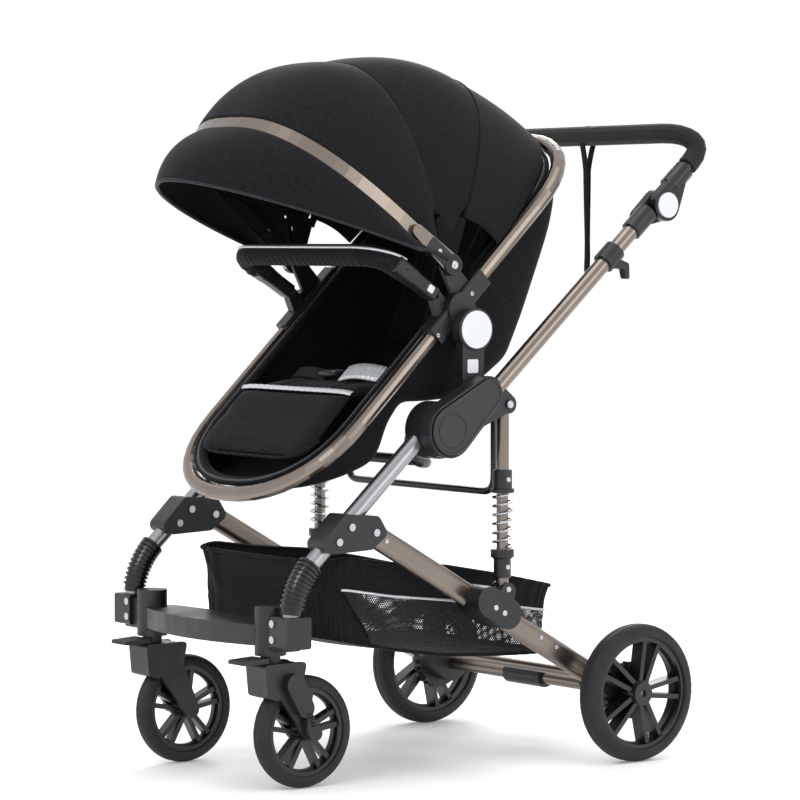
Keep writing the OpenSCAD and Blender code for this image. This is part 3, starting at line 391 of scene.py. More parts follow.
def cord_round(path, radius, ref, closed=False, sides=10, squash=1.0):
    """A round or flattened bead along a path: at each point a ring stands square to the path, its first axis
    as near to ref as it can be. The ends are drawn to a point."""
    path = np.asarray(path, float)
    ahead = np.roll(path, -1, 0) - np.roll(path, 1, 0) if closed else np.gradient(path, axis=0)
    ahead /= np.linalg.norm(ahead, axis=1, keepdims=True)
    a = np.asarray(ref, float) - (ahead @ np.asarray(ref, float))[:, None] * ahead
    a /= np.linalg.norm(a, axis=1, keepdims=True)
    b = np.cross(ahead, a)
    k = full_turn(sides)
    r = np.broadcast_to(np.asarray(radius, float), (len(path),))[:, None, None]
    ring = r * (np.cos(k)[None, :, None] * a[:, None] + squash * np.sin(k)[None, :, None] * b[:, None])
    grid = path[:, None] + ring
    return grid if closed else np.concatenate([np.repeat(path[:1, None], sides, 1), grid,
        np.repeat(path[-1:, None], sides, 1)])


def bead(name, path, radius, ref, material, body, slot, closed=False, **how):
    """A cord-like piece along a path that rides on a body, in the given material; slot is not used."""
    piece = surface(name, cord_round(path, radius, ref, closed, **how), material, (closed, True), solid=True)
    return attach(piece, body)


# The last panel is sewn to the hoop's head end, and the hood is edged with a corded piping at the visor.
# Flat tapes cover the seams over the two inner ribs.
along = np.array([np.cos(np.radians(43.7)), np.sin(np.radians(43.7))])
above = np.array([-along[1], along[0]])
hoop_centre = np.array([-0.04749, 0.74758])
hoop_half_length, hoop_half_width, hoop_end = 0.418, 0.200, 0.168


def in_seat(x, s, h):
    """A point x across, s along the hoop's plane towards the head and h above that plane."""
    x, s, h = np.broadcast_arrays(np.asarray(x, float), s, h)
    yz = hoop_centre + s[..., None] * along + h[..., None] * above
    return np.concatenate([x[..., None], yz], -1)


def hoop_width(s, width):
    """Half the width of the hoop at s: straight sides, then a squared quarter ring of power 2.3 at each end."""
    e = np.clip(np.abs(s) - (hoop_half_length - hoop_end), 0, None) / hoop_end
    return width * np.clip(1 - np.clip(e, 0, 1) ** 2.3, 0, None) ** (1 / 2.3)


t = np.linspace(9, 171, 109)
head_line = in_seat(0.204 * power(np.cos(np.radians(t)), 2.3),
    hoop_half_length * (0.2 + 0.8 * power(np.sin(np.radians(t)), 2.3)), 0.0145)
v = np.linspace(0.006, 1, 40)[:, None, None]
ruled = (1 - v) * on_rib(np.broadcast_to(rib_rear, (1, 109, 4)), t[None]) + v * head_line[None]
ruled[..., 1] += 0.005 * np.sin(np.pi * v[..., 0])
ruled[..., 2] += 0.004 * np.sin(np.pi * v[..., 0])
cloth = lined(surface("canopy_gore_rear_cloth", ruled, melange), 0.003)
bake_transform(cloth)
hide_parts("canopy_gore_rear")
for name, rib, body in (("mid", rib_mid, "canopy_mid"), ("rear", rib_rear, "canopy_rear")):
    line = on_rib(np.broadcast_to(rib, (90, 4)), np.linspace(9.5, 170.5, 90), -0.0006)
    bead(f"canopy_seam_tape_{name}", line, 0.0042, (0, 1, 0) if name == "mid" else (0, 0.4, 1), tape, body,
        "black_fabric", sides=8, squash=0.22)
line = panel(visor_edge, bow, 0.001, 0.0116, 0.008)[0]
bead("canopy_visor_piping", line, 0.0034, (0, 0, 1), piping, "canopy_front", "black_fabric")
line = panel(visor_edge, bow, 0.001, 0.0116, 0.008)[-1]
bead("canopy_bow_front_bead", line, 0.0018, (0, 0, 1), tape, "canopy_front", "black_fabric")

# ---------- Seat tub, zip and pads ----------
# A sewn tub of the same cloth hangs inside the hoop on a coil zip that runs all round its inner side.
# The seat, calf rest and back are foam pads in padded cloth with piped edges, and a silver
# reflective tape marks the knee. Straps with a plastic buckle lie on the seat.


def through(stops, x):
    """A smooth curve through (x, value) stops: cosine steps between neighbours, then averaged over a short window."""
    s = np.asarray(stops, float)
    wide = np.linspace(s[0, 0], s[-1, 0], 401)
    y = np.interp(wide, s[:, 0], s[:, 1])
    pad = np.pad(y, 12, mode="reflect", reflect_type="odd")
    y = np.convolve(pad, np.hanning(27)[1:-1] / np.hanning(27).sum(), "valid")
    return np.interp(x, wide, y)


depth_stops = [(-0.392, 0.012), (-0.366, 0.036), (-0.318, 0.060), (-0.262, 0.082), (-0.236, 0.080), (-0.196, 0.060),
    (-0.150, 0.053),
               (-0.118, 0.085), (-0.070, 0.126), (0, 0.148), (0.056, 0.157), (0.130, 0.129), (0.212, 0.092), (0.296,
                   0.052), (0.366, 0.026), (0.392, 0.012)]
s = np.linspace(-0.392, 0.392, 120)[:, None]
q = np.linspace(-1, 1, 81)[None]
edge = hoop_width(s * (1 + 0.0354 / 0.836), hoop_half_width) - 0.0181
x = edge * np.sign(q) * (1 - (1 - np.abs(q)) ** 3.2) ** 0.9
x = np.where(np.abs(q) > 0.5, edge * np.sign(q) * (1 - 0.14 * ((1 - np.abs(q)) / 0.5) ** 2.2),
    edge * 0.86 * q / 0.5)
deep = through(depth_stops, s)
rise = np.clip((1 - np.abs(q)) / 0.5, 0, 1)
sag = 1 - (1 - rise) ** 2.1
pucker = 0.0012 * np.sin(s * 210 + 4 * q) * np.exp(-(((np.abs(q) - 0.93) / 0.06) ** 2))
tub = in_seat(x, s, -0.002 - (deep - 0.003) * sag + pucker)
tub_cloth = lined(surface("seat_tub_cloth", tub, melange), -0.003)
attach(tub_cloth, "seat")
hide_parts("seat_shell")

# the coil zip and its two tapes follow the hoop just inside the tube
turn = np.linspace(0, 2 * np.pi, 361)[:-1]


def round_hoop(inside, h):
    """A closed line that follows the hoop at a distance inside its centre line and h above its plane."""
    c, n = power(np.cos(turn), 2.3), power(np.sin(turn), 2.3)
    w, e = hoop_half_width - inside, hoop_end - inside
    return in_seat(w * c, np.sign(np.sin(turn)) * (hoop_half_length - hoop_end) + e * n, h)


coil, tree, shader = finish("black_nylon_zip_coil", "#0c0c0d", 0.35)
flat = add(tree, "UVMap", {"uv_map": "UVMap"}).outputs[0]
# the wave that raises the teeth also colours them: each crest gets a painted highlight and each gap between teeth gets
# painted shade
teeth = add(tree, "TexWave", {"bands_direction": "X"}, Vector=flat, Scale=0.157 / 0.0032)
tone = add(tree, "Mix", {"data_type": "RGBA"}, Factor=teeth.outputs["Fac"], _6=linear("#060607"),
    _7=linear("#38393c"))
bump = add(tree, "Bump", Height=teeth.outputs["Fac"], Strength=0.9, Distance=0.0012)
wire(tree, shader, Base_Color=tone.outputs[2], Normal=bump.outputs[0])
bead("hoop_zip_coil", round_hoop(0.0215, 0.0085), 0.0026, (0, *above), coil, "seat", "webbing", closed=True,
    squash=1.3)
bead("hoop_zip_outer_tape", round_hoop(0.0168, 0.0065), 0.0052, (0, *above), tape, "seat", "black_fabric",
    closed=True, squash=0.5)
band = surface("hoop_zip_inner_tape", np.stack([round_hoop(0.0232, 0.0082), round_hoop(0.028, 0.0066),
    round_hoop(0.034, 0.0005)], 1), tape, (True, False))
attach(lined(band, 0.0016), "seat")
padding = woven("padded_melange_cloth", "#0a0a0b", "#1b1b1e", 0.0012, crease=0.0016)
lining = woven("quilted_seat_lining", "#060607", "#111113", 0.0012, crease=0.0016)
for cloth in (padding, lining):
    tree = cloth.node_tree
    place = add(tree, "Mapping", Vector=add(tree, "TexCoord").outputs["Object"],
        Rotation=(-np.radians(43.7), 0, 0)).outputs[0]
    for link in [k for k in tree.links if k.from_node.type == "UVMAP"]:
        tree.links.new(place, link.to_socket)
coat(lining, "canopy_rib_mid", "canopy_rib_rear")


def inflate(piece, cap):
    """Swells a closed pad by cloth simulation: an even voxel mesh under a pressure of 4 with no gravity for 20
    frames, each point moving at most cap metres. Leaves a plain mesh."""
    scene = bpy.context.scene
    even = piece.modifiers.new("even", "REMESH")
    even.mode, even.voxel_size = "VOXEL", 0.0055
    mesh = bpy.data.meshes.new_from_object(piece.evaluated_get(bpy.context.evaluated_depsgraph_get()))
    piece.modifiers.clear()
    piece.data = mesh
    sim = piece.modifiers.new("air", "CLOTH")
    sim.settings.use_pressure, sim.settings.uniform_pressure_force, sim.settings.quality = True, 4.0, 5
    sim.settings.effector_weights.gravity = 0
    sim.point_cache.frame_start, sim.point_cache.frame_end = 1, 20
    for f in range(1, 21):
        scene.frame_set(f)
    blown = piece.evaluated_get(bpy.context.evaluated_depsgraph_get()).to_mesh()
    old, new = np.zeros(len(mesh.vertices) * 3), np.zeros(len(mesh.vertices) * 3)
    mesh.vertices.foreach_get("co", old)
    blown.vertices.foreach_get("co", new)
    move = (new - old).reshape(-1, 3)
    far = np.linalg.norm(move, axis=1, keepdims=True)
    piece.modifiers.clear()
    mesh.vertices.foreach_set("co", (old.reshape(-1, 3)
        + move * np.minimum(1, cap / np.maximum(far, 1e-9))).ravel())
    mesh.shade_smooth()
    scene.frame_set(1)


def pillow(name, half, s0, s1, mid, thick, corner, material, blow, channels=()):
    """A closed pad: a sheet x = a * half(b), s from s0 to s1, h = mid(b), thickened each way by half of thick times a
    squared dome that drops to nothing at its edges. The ends are drawn in to round the corners. After swelling, sewn
    channels, given as (x or s, position, width), pull its face in."""
    a, b = np.linspace(-1, 1, 61)[None], np.linspace(0, 1, 61)[:, None]
    wide = half * (1 - corner[0] * np.exp(-b / 0.055) - corner[1] * np.exp(-(1 - b) / 0.07))
    dome = (1 - np.abs(a) ** 9) ** 0.5 * (1 - np.abs(2 * b - 1) ** 9) ** 0.5
    s = s0 + (s1 - s0) * b + 0 * a
    top, low = (in_seat(a * wide, s, mid(b) + k * thick / 2 * dome) for k in (1, -1))
    piece = surface(name, np.concatenate([top, low[::-1]]), material, (True, False), solid=True)
    inflate(piece, blow)
    co = np.zeros(len(piece.data.vertices) * 3)
    piece.data.vertices.foreach_get("co", co)
    co = co.reshape(-1, 3)
    s_of, h_of = (co[:, 1:] - hoop_centre) @ along, (co[:, 1:] - hoop_centre) @ above
    order = slice(None) if s1 > s0 else slice(None, None, -1)
    face = np.interp(s_of, np.linspace(s0, s1, 61)[order], mid(np.linspace(0, 1, 61))[order]) < h_of
    for way, at, wide in channels:
        t = (co[:, 0] if way == "x" else s_of) - at
        co[:, 1:] -= (face * 0.0042 * np.exp(-((t / wide) ** 2)))[:, None] * above
    piece.data.vertices.foreach_set("co", co.ravel())
    smooth = piece.modifiers.new("smooth", "SUBSURF")
    smooth.levels = smooth.render_levels = 1
    return piece


seat_mid = lambda b: through([(0, 0.011), (0.12, -0.008), (0.5, -0.062), (0.85, -0.114), (1, -0.126)], b)
seat_cushion = pillow("seat_cushion", 0.147, -0.201, -0.016, seat_mid, 0.023, (0.02, 0.02), lining, 0.004,
                      [("x", -0.07, 0.004), ("x", 0.07, 0.004)])
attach(seat_cushion, "seat")
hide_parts("seat_pad")
calf_mid = lambda b: 0.0135 + 0.002 * (1 - b)
calf_pad = pillow("calf_rest", 0.155, -0.202, -0.344, calf_mid, 0.015, (0.0, 0.16), padding, 0.0035)
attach(calf_pad, "seat")
back_mid = lambda b: through([(0, -0.1305), (0.5, -0.081), (1, -0.0315)], b)
back_pad = pillow("backrest_pad", 0.147, 0.056, 0.303, back_mid, 0.017, (0.02, 0.06), lining, 0.0035,
                  [("x", -0.052, 0.004), ("x", 0.052, 0.004), ("s", 0.16, 0.004), ("s", 0.24, 0.004)])
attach(back_pad, "backrest")
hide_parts("backrest")

# the knee tape is retro-reflective silver, and piping runs round the calf rest's lower edge
glass, tree, shader = finish("silver_reflective_tape", "#c9cbcd", 0.35, Metallic=0.35)
flat = add(tree, "UVMap", {"uv_map": "UVMap"}).outputs[0]
crush = add(tree, "TexNoise", Vector=flat, Scale=140.0, Detail=3.0)
tone = add(tree, "Mix", {"data_type": "RGBA"}, Factor=crush.outputs["Fac"], _6=linear("#aeb1b4"),
    _7=linear("#dfe1e3"))
bump = add(tree, "Bump", Height=crush.outputs["Fac"], Strength=0.4, Distance=0.001)
wire(tree, shader, Base_Color=tone.outputs[2], Normal=bump.outputs[0])
a, b = np.linspace(-1, 1, 81)[:, None], np.linspace(0, 1, 7)[None]
knee = in_seat(0.152 * a + 0 * b, -0.1985 - 0.0095 * b, 0.0258 + 0.0004 * np.sin(a * 55 + 3 * b)
    - 0.0016 * (2 * b - 1) ** 2 - 0.004 * np.abs(a) ** 9)
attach(lined(surface("knee_reflective_tape", knee, glass), 0.0012), "seat")
rim_a = np.linspace(-1, 1, 121)
lower = in_seat(0.1585 * rim_a, -0.3445 + 0.042 * np.abs(rim_a) ** 7 + 0.0007 * np.sin(rim_a * 40), 0.0135)
bead("calf_rest_piping", lower, 0.0026, (0, *above), tape, "seat", "black_fabric")

# ---------- Harness ----------
# A five-point harness of 25 mm polyester webbing: two shoulder straps with soft pads on the back, two lap
# straps and a moulded buckle on the seat. One lap strap carries a crushed silver pad.
webbing = woven("black_ribbed_webbing", "#070708", "#141416", 0.0014, rough=0.6, sheen=0.05, crease=0.0003)
slope = lambda s: through([(-0.201, 0.0235), (-0.18, 0.013), (-0.118, -0.035), (-0.1, -0.05), (-0.02, -0.113)], s)


def strap(name, x, s, h, half, side, material, body, thick=0.0016):
    """A flat strap along (x, s, h) points in the seat's frame, half as wide on each side of its line, with side
    the way across it in (x, s)."""
    line, across = in_seat(x, s, h), np.linspace(-1, 1, 5)[None, :, None]
    way = in_seat(side[0], side[1], 0.0) - in_seat(0.0, 0.0, 0.0)
    piece = lined(surface(name, line[:, None] + half * across * way, material), thick)
    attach(piece, body)
    return piece


on_back = lambda s, lift, arch: back_mid((s - 0.056) / 0.247) + lift + arch * np.sin(np.pi * k)
k = np.linspace(0, 1, 40)
for side, name in ((1, "left"), (-1, "right")):
    x = side * (0.022 + 0.112 * k)
    strap(f"lap_strap_{name}", x, -0.132 + 0.012 * k, slope(-0.132 + 0.012 * k) + 0.0045
        + 0.006 * np.sin(np.pi * k), 0.0115, (0, 1), webbing, "seat")
    s = 0.085 + 0.205 * k
    strap(f"shoulder_strap_{name}", side * (0.028 + 0.02 * k), s, on_back(s, 0.0125, 0.003), 0.0115, (1, 0),
        webbing, "backrest")
    s = 0.13 + 0.12 * k
    strap(f"shoulder_pad_{name}", side * (0.0325 + 0.012 * k), s, on_back(s, 0.018, 0.002), 0.019, (1, 0), lining,
        "backrest", 0.006)
x = 0.034 + 0.084 * k
strap("lap_silver_pad", x, -0.133 + 0.010 * k, slope(-0.133 + 0.010 * k) + 0.0095 + 0.007 * np.sin(np.pi * k)
    + 0.0008 * np.sin(k * 60), 0.0165, (0, 1), glass, "seat", 0.004)
a, b = full_turn(64)[:, None], np.linspace(0, np.pi, 25)[None]
bx, bs = 0.021 * power(np.cos(a), 4) * power(np.sin(b), 4), 0.019 * power(np.sin(a), 4) * power(np.sin(b), 4)
lid = 0.0062 * power(np.cos(b), 3) - 0.0012 * np.exp(-((np.hypot(bx, bs) - 0.009) / 0.0012) ** 2) * (np.cos(b) > 0)
buckle = surface("harness_buckle", in_seat(bx, -0.132 + 0.80 * bs + 0.5 * lid, -0.0125 - 0.62 * bs + 0.75 * lid),
    smooth_nylon, (True, False), solid=True)
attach(buckle, "seat")
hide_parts("harness")

# ---------- Bumper bar ----------
# A steel bow padded with foam and wrapped in the same cloth, gathered on its underside, with a silver
# reflective piping along its top. It clips into two moulded arms on the seat's connectors.
hub = hoop_centre + -0.002 * along + 0.044 * above
far = hub + np.array([-0.082, 0.052])
toward = (far - hub) / np.linalg.norm(far - hub)


def spaced(line, n):
    """n points evenly spaced along a line, and how far along it each one lies."""
    run = np.append(0, np.cumsum(np.linalg.norm(np.diff(line, axis=0), axis=1)))
    even = np.linspace(0, run[-1], n)
    return np.stack([np.interp(even, run, c) for c in line.T], -1), even


def bezier(p, n):
    """A cubic curve through four control points."""
    t, p = np.linspace(0, 1, n)[:, None], np.asarray(p, float)
    return (1 - t) ** 3 * p[0] + 3 * (1 - t) ** 2 * t * p[1] + 3 * (1 - t) * t**2 * p[2] + t**3 * p[3]


half = bezier([(0.200, *(far + (0.022, -0.014))), (0.200, *(far + (-0.012, 0.008))),
    (0.184, *(far + (-0.024, 0.012))), (0.148, *(far + (-0.028, 0.013)))], 24)
across = np.linspace(0.148, -0.148, 60)[1:-1]
middle = np.stack([across, 0 * across + half[-1, 1], 0 * across + half[-1, 2]], -1)
path = np.concatenate([half, middle, half[::-1] * (-1, 1, 1)])
path, even = spaced(path, 241)
ahead = np.gradient(path, axis=0)
ahead /= np.linalg.norm(ahead, axis=1, keepdims=True)
lift = np.array((0, -np.sin(np.radians(18)), np.cos(np.radians(18))))
a_axis = lift - (ahead @ lift)[:, None] * ahead
a_axis /= np.linalg.norm(a_axis, axis=1, keepdims=True)
out = np.cross(ahead, a_axis)
ang = full_turn(48)[None]
gather = 0.0007 * np.sin(even[:, None] * 420 + 2 * np.sin(even[:, None] * 37)) * np.clip(-np.cos(ang - 0.4), 0, 1)
r = 0.0178 + gather
r = r * np.clip(np.minimum(even, even[-1] - even) / 0.006, 0.0, 1)[:, None] ** 0.35
wrap = path[:, None] + (r * np.cos(ang))[..., None] * a_axis[:, None] + (r * np.sin(ang))[..., None] * out[:, None]
cover = surface("bumper_cover", wrap, melange, (False, True), solid=True)
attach(cover, "bumper")
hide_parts("bumper_bar")
top_line = path + 0.0184 * (np.cos(-0.5) * a_axis + np.sin(-0.5) * out)
bead("bumper_reflective_piping", top_line[6:-6], 0.0024, lift, glass, "bumper", "webbing")
for side, name in ((1, "left"), (-1, "right")):
    k = np.linspace(0, 1, 33)
    centre = hub + toward * (0.0 + 0.100 * k[:, None])
    taper = (0.0125 + 0.0022 * np.clip((k - 0.35) / 0.3, 0, 1)) * np.clip(np.minimum(k, 1 - k) / 0.03, 0, 1) ** 0.4
    ang = full_turn(32)
    sq = (np.abs(np.cos(ang)) ** 4 + np.abs(np.sin(ang)) ** 4) ** -0.25
    ring_x = side * 0.200 + (taper * 1.18)[:, None] * (sq * np.cos(ang))[None]
    ring_n = taper[:, None] * (sq * np.sin(ang))[None]
    ribbed = 1 - 0.05 * (np.sin(k * 90) > 0.4) * (k > 0.42) * (k < 0.66)
    ring_n, ring_x = ring_n * ribbed[:, None], side * 0.200 + (ring_x - side * 0.200) * ribbed[:, None]
    normal = np.array([-toward[1], toward[0]])
    grid = np.concatenate([ring_x[..., None], centre[:, None] + ring_n[..., None] * normal], -1)
    arm = surface(f"bumper_arm_{name}", grid, nylon, (False, True), solid=True)
    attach(arm, "bumper")
    a, b = full_turn(40)[:, None], np.linspace(0, np.pi, 17)[None]
    cx, cn = power(np.cos(a), 6) * power(np.sin(b), 6), power(np.sin(a), 6) * power(np.sin(b), 6)
    spot = hub + toward * 0.020
    button = np.concatenate([(side * (0.2145 + 0.0026 * power(np.cos(b), 3)) + 0 * cx)[..., None], spot
        + 0.0062 * cx[..., None] * toward + 0.0062 * cn[..., None] * normal], -1)
    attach(surface(f"bumper_button_{name}", button, abs_white, (True, False), solid=True), "bumper")

# ---------- Basket and wrist strap ----------
# A soft shopping basket: an opaque cloth band with piping at its rim, a silver reflective piping under the
# band, open net sides below, and a cloth floor. It is strapped to the strut brackets and the front legs.
net, tree, shader = finish("black_basket_net", "#0c0c0d", 0.8)
place = add(tree, "Mapping", Vector=add(tree, "UVMap", {"uv_map": "UVMap"}).outputs[0],
    Rotation=(0, 0, np.radians(45))).outputs[0]
# cells of 3.4 mm, a little coarser than a real net so that they show
lines = [add(tree, "TexWave", {"bands_direction": d}, Vector=place,
    Scale=0.157 / 0.0017).outputs["Fac"] for d in "XY"]
holes = add(tree, "Math", {"operation": "MULTIPLY"}, _0=lines[0], _1=lines[1])
open_part = add(tree, "MapRange", Value=holes.outputs[0], From_Min=0.35, From_Max=0.55, To_Min=1.0, To_Max=0.0)
wire(tree, shader, Alpha=open_part.outputs[0])
bump = add(tree, "Bump", Height=holes.outputs[0], Strength=0.5, Distance=0.0005)
wire(tree, shader, Normal=bump.outputs[0])

# the basket's plan is a rounded rectangle whose parameter t runs once round, and each height has its own ends
rim_z = lambda y: through([(-0.300, 0.356), (-0.242, 0.362), (-0.159, 0.350), (-0.019, 0.337), (0.187, 0.292),
    (0.210, 0.288)], y)
floor_z = lambda y: through([(-0.300, 0.239), (-0.282, 0.235), (-0.150, 0.206), (-0.060, 0.190), (0.075, 0.182),
    (0.161, 0.179), (0.210, 0.178)], y)
angle = full_turn(320)


def ring(v):
    """The basket's wall at height v (0 floor, 1 rim): a superellipse in plan from the front end to the rear end
    at that height, its sides bowing out in the middle and its cloth puckering along the rim and the floor."""
    front, rear = -0.281 - 0.010 * v, 0.186 + 0.014 * v
    half = 0.1900 - 0.0055 * (1 - v) - 0.004 * np.sin(np.pi * v)
    cx, cy = power(np.cos(angle), 9) * half, power(np.sin(angle), 9)
    y = (front + rear) / 2 + cy * (rear - front) / 2
    z = floor_z(y) + (rim_z(y) - floor_z(y)) * v
    pucker = 0.0011 * np.sin(angle * 46 + 1.7 * np.sin(angle * 9)) * (0.4 + np.abs(2 * v - 1) ** 3)
    sway = 0.004 * np.sin(angle * 5 + 4 * v) * np.sin(np.pi * v)
    n = np.stack([np.sign(cx) * np.abs(np.cos(angle)) ** 1.6, np.sign(cy) * np.abs(np.sin(angle)) ** 1.6], -1)
    n /= np.linalg.norm(n, axis=1, keepdims=True)
    return np.stack([cx + n[:, 0] * (pucker - abs(sway)), y + n[:, 1] * (pucker - abs(sway)), z], -1)


stack = np.stack([ring(h) for h in np.linspace(0, 1, 41)])


def at_height(v):
    """Points round the wall at a height for each angle, mixed from the two nearest of 41 even rings."""
    i = np.clip(np.floor(v * 40).astype(int), 0, 39)
    f, j = (v * 40 - i)[..., None], np.arange(len(angle))
    return stack[i, j] * (1 - f) + stack[i + 1, j] * f


def wall(name, v0, v1, keep, material, rows=17):
    """Part of the basket's wall between two heights, which may change round the ring, and over the kept angles."""
    v = np.linspace(0, 1, rows)[:, None]
    low, high = np.broadcast_to(v0, angle.shape), np.broadcast_to(v1, angle.shape)
    points = at_height(low + (high - low) * v)
    order = np.flatnonzero(keep)
    split = np.flatnonzero(np.diff(order) > 1)
    order = np.concatenate([order[split[0] + 1:], order[:split[0] + 1]]) if len(split) else order
    return surface(name, points[:, order], material, (False, bool(keep.all())))


plan_y = ring(0.5)[:, 1]
every = np.ones(len(angle), bool)
band = 0.62 + 0 * plan_y
seam = np.where((np.abs(ring(0.5)[:, 0]) <= 0.15) & (plan_y < 0), band,
    np.clip((-0.190 - plan_y) / 0.096, 0.02, band))
rim_cloth = lined(wall("basket_cloth", band, 0.985, every, melange), 0.0014)
front_cloth = lined(wall("basket_front_cloth", 0.02, seam, seam > 0.024, melange), 0.0014)
side_net = wall("basket_net", seam - 0.006, band + 0.012, seam < 0.619, net)
sheet_a, k = ring(0.02), np.linspace(0, 1, 24)[:, None, None]
centre = np.stack([0 * angle, sheet_a[:, 1], floor_z(sheet_a[:, 1])], -1)[None]
bed = centre + (sheet_a[None] - centre) * k
bed[..., 2] -= 0.004 * (1 - k[..., 0] ** 2)
floor_cloth = lined(surface("basket_floor", bed, tape, (False, True)), 0.0016)
for piece in (rim_cloth, front_cloth, side_net, floor_cloth):
    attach(piece, "chassis")
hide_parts("basket")
edge, corner = at_height(band), at_height(seam)
# the rim is piped in black, the band's lower edge in silver on the two sides, and the floor's edge in black
bead("basket_rim_piping", ring(0.985), 0.0034, (0, 0, 1), tape, "chassis", "black_fabric", True)
bead("basket_floor_piping", ring(0.02), 0.0030, (0, 0, 1), tape, "chassis", "black_fabric", True)
for side, name in ((1, "left"), (-1, "right")):
    for kind, low, high, curve, cover, radius in (("reflective", -0.250, 0.19, edge, glass, 0.0022),
        ("seam", -0.249, -0.193, corner, tape, 0.0019)):
        on = np.flatnonzero((curve[:, 0] * side > 0.15) & (curve[:, 1] > low) & (curve[:, 1] < high))
        line = curve[on[np.argsort(curve[on, 1])]] + (side * 0.0016, 0, 0)
        bead(f"basket_{kind}_piping_{name}", spaced(line, 160)[0], radius, (0, 0, 1), cover, "chassis", "webbing")

# The wrist strap is a loop of 13 mm webbing round the grip, sewn together where it hangs.
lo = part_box("wrist_strap")[0]
grip_y, grip_z, bottom = 0.4186, 1.0473, lo[2] + 0.001
k = full_turn(200)
top_r = 0.0178
y = grip_y + 0.003 + top_r * power(np.sin(k), 1.0)
drop = np.clip(-np.cos(k), 0, 1)
z = np.where(np.cos(k) > 0, grip_z + top_r * np.cos(k), grip_z
    - (grip_z - bottom) * (1 - np.sqrt(1 - drop**2 * 0.9999)))
spread = np.where(np.cos(k) > 0, 1.0, np.interp(z, [bottom, bottom + 0.03, grip_z - 0.06, grip_z],
    [0.35, 0.75, 0.34, 1.0]))
y = grip_y + (y - grip_y) * spread
cross = np.linspace(-1, 1, 5)[None]
loop = np.stack([-0.005 + 0.0065 * cross + 0 * y[:, None], y[:, None] + 0 * cross, z[:, None] + 0 * cross], -1)
loop = surface("wrist_strap_webbing", loop, webbing, (True, False))
lined(loop, 0.0014)
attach(loop, "handle_upper")
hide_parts("wrist_strap")

# ---------- Rivets, rims and bow feet ----------
# Domed zinc-plated rivets hold the tubes in their brackets. The moulded joint covers and button bosses have
# raised rims, and each end of the hood's bow sits in a riveted nylon link with a round pivot disc.


def heads(name, spots, radius, body, material=zinc, tall=0.42):
    """Rivet heads that face sideways, all in one mesh: each is a dome about a spot, its height a rounded power
    of the distance from its centre, with a small pressed dimple."""
    spots = np.asarray(spots, float)
    a, r = full_turn(24)[None, :, None], np.linspace(0, 1, 10)[None, None]
    high = tall * radius * ((1 - r**4) ** 0.5 - 0.35 * np.exp(-((r / 0.3) ** 2))) - 0.0002
    out = np.sign(spots[:, 0])[:, None, None]
    grid = np.stack([spots[:, 0][:, None, None] + out * high + 0 * a, spots[:, 1][:, None, None]
        + radius * r * np.cos(a),
                     spots[:, 2][:, None, None] + radius * r * np.sin(a)], -1)
    n, cols, rows = grid.shape[:3]
    base, i, j = np.meshgrid(np.arange(n) * cols * rows, np.arange(cols), np.arange(rows - 1), indexing="ij")
    faces = np.stack([base + (i + di) % cols * rows + j + dj for di, dj in ((0, 0), (1, 0), (1, 1), (0, 1))],
        -1).reshape(-1, 4)
    mesh = bpy.data.meshes.new(name)
    mesh.from_pydata(grid.reshape(-1, 3).tolist(), [], faces.tolist())
    bm = bmesh.new()
    bm.from_mesh(mesh)
    bmesh.ops.remove_doubles(bm, verts=bm.verts, dist=2e-6)
    bmesh.ops.holes_fill(bm, edges=[e for e in bm.edges if e.is_boundary], sides=40)
    bmesh.ops.recalc_face_normals(bm, faces=bm.faces)
    bm.to_mesh(mesh)
    bm.free()
    mesh.shade_smooth()
    mesh.materials.append(material)
    piece = bpy.data.objects.new(name, mesh)
    bpy.context.scene.collection.objects.link(piece)
    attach(piece, body)
    return piece


both = lambda spots: [(side * x, y, z) for x, y, z in spots for side in (1, -1)]
sleeve_spot = lambda s: tuple(in_seat(0.2155, s, 0.0))
bow_way = np.array([-np.cos(np.radians(bow[0])), np.sin(np.radians(bow[0]))])
link_spot = pivot + 0.036 * bow_way
heads("side_tube_rivets", both([(0.2358, -0.201, 0.390), (0.2358, 0.118, 0.2135), (0.2358, 0.151, 0.195)]), 0.0042,
    "chassis")
heads("strut_bracket_bolts", both([(0.268, 0.022, 0.302), (0.268, -0.004, 0.274), (0.268, 0.014, 0.264)]), 0.0052,
    "chassis")
heads("seat_sleeve_rivets", both([sleeve_spot(0.0475), sleeve_spot(-0.0485)]), 0.0048, "seat")
heads("handle_arm_rivets", both([(0.2715, 0.022, 0.602)]), 0.0068, "handle")
heads("bow_link_rivets", both([(0.2258, *link_spot)]), 0.0042, "canopy_front")
heads("bow_pivot_rivets", both([(0.2276, *pivot)]), 0.0075, "canopy_front")


def capsule(c1, r1, c2, r2, n=60):
    """The outline of two circles and their common tangents: from the way between the centres, each circle's arc
    stops where the tangent touches it, at the arc cosine of the radii's difference over the distance."""
    c1, c2 = np.array(c1), np.array(c2)
    way, gap = np.arctan2(*(c2 - c1)[::-1]), np.linalg.norm(c2 - c1)
    touch = np.arccos(np.clip((r1 - r2) / gap, -1, 1))
    first = way + np.linspace(touch, 2 * np.pi - touch, n)
    second = way + np.linspace(-touch, touch, n)
    return np.concatenate([c1 + r1 * np.stack([np.cos(first), np.sin(first)], -1), c2
        + r2 * np.stack([np.cos(second), np.sin(second)], -1)])


def rim(name, outline, x, radius, material, body, slot, **how):
    """A bead that runs round a flat outline in the plane at x."""
    flat = spaced(np.concatenate([outline, outline[:1]]), 161)[0][:-1]
    path = np.concatenate([np.full((160, 1), x), flat], 1)
    bead(name, path, radius, (1, 0, 0), material, body, slot, True, **how)


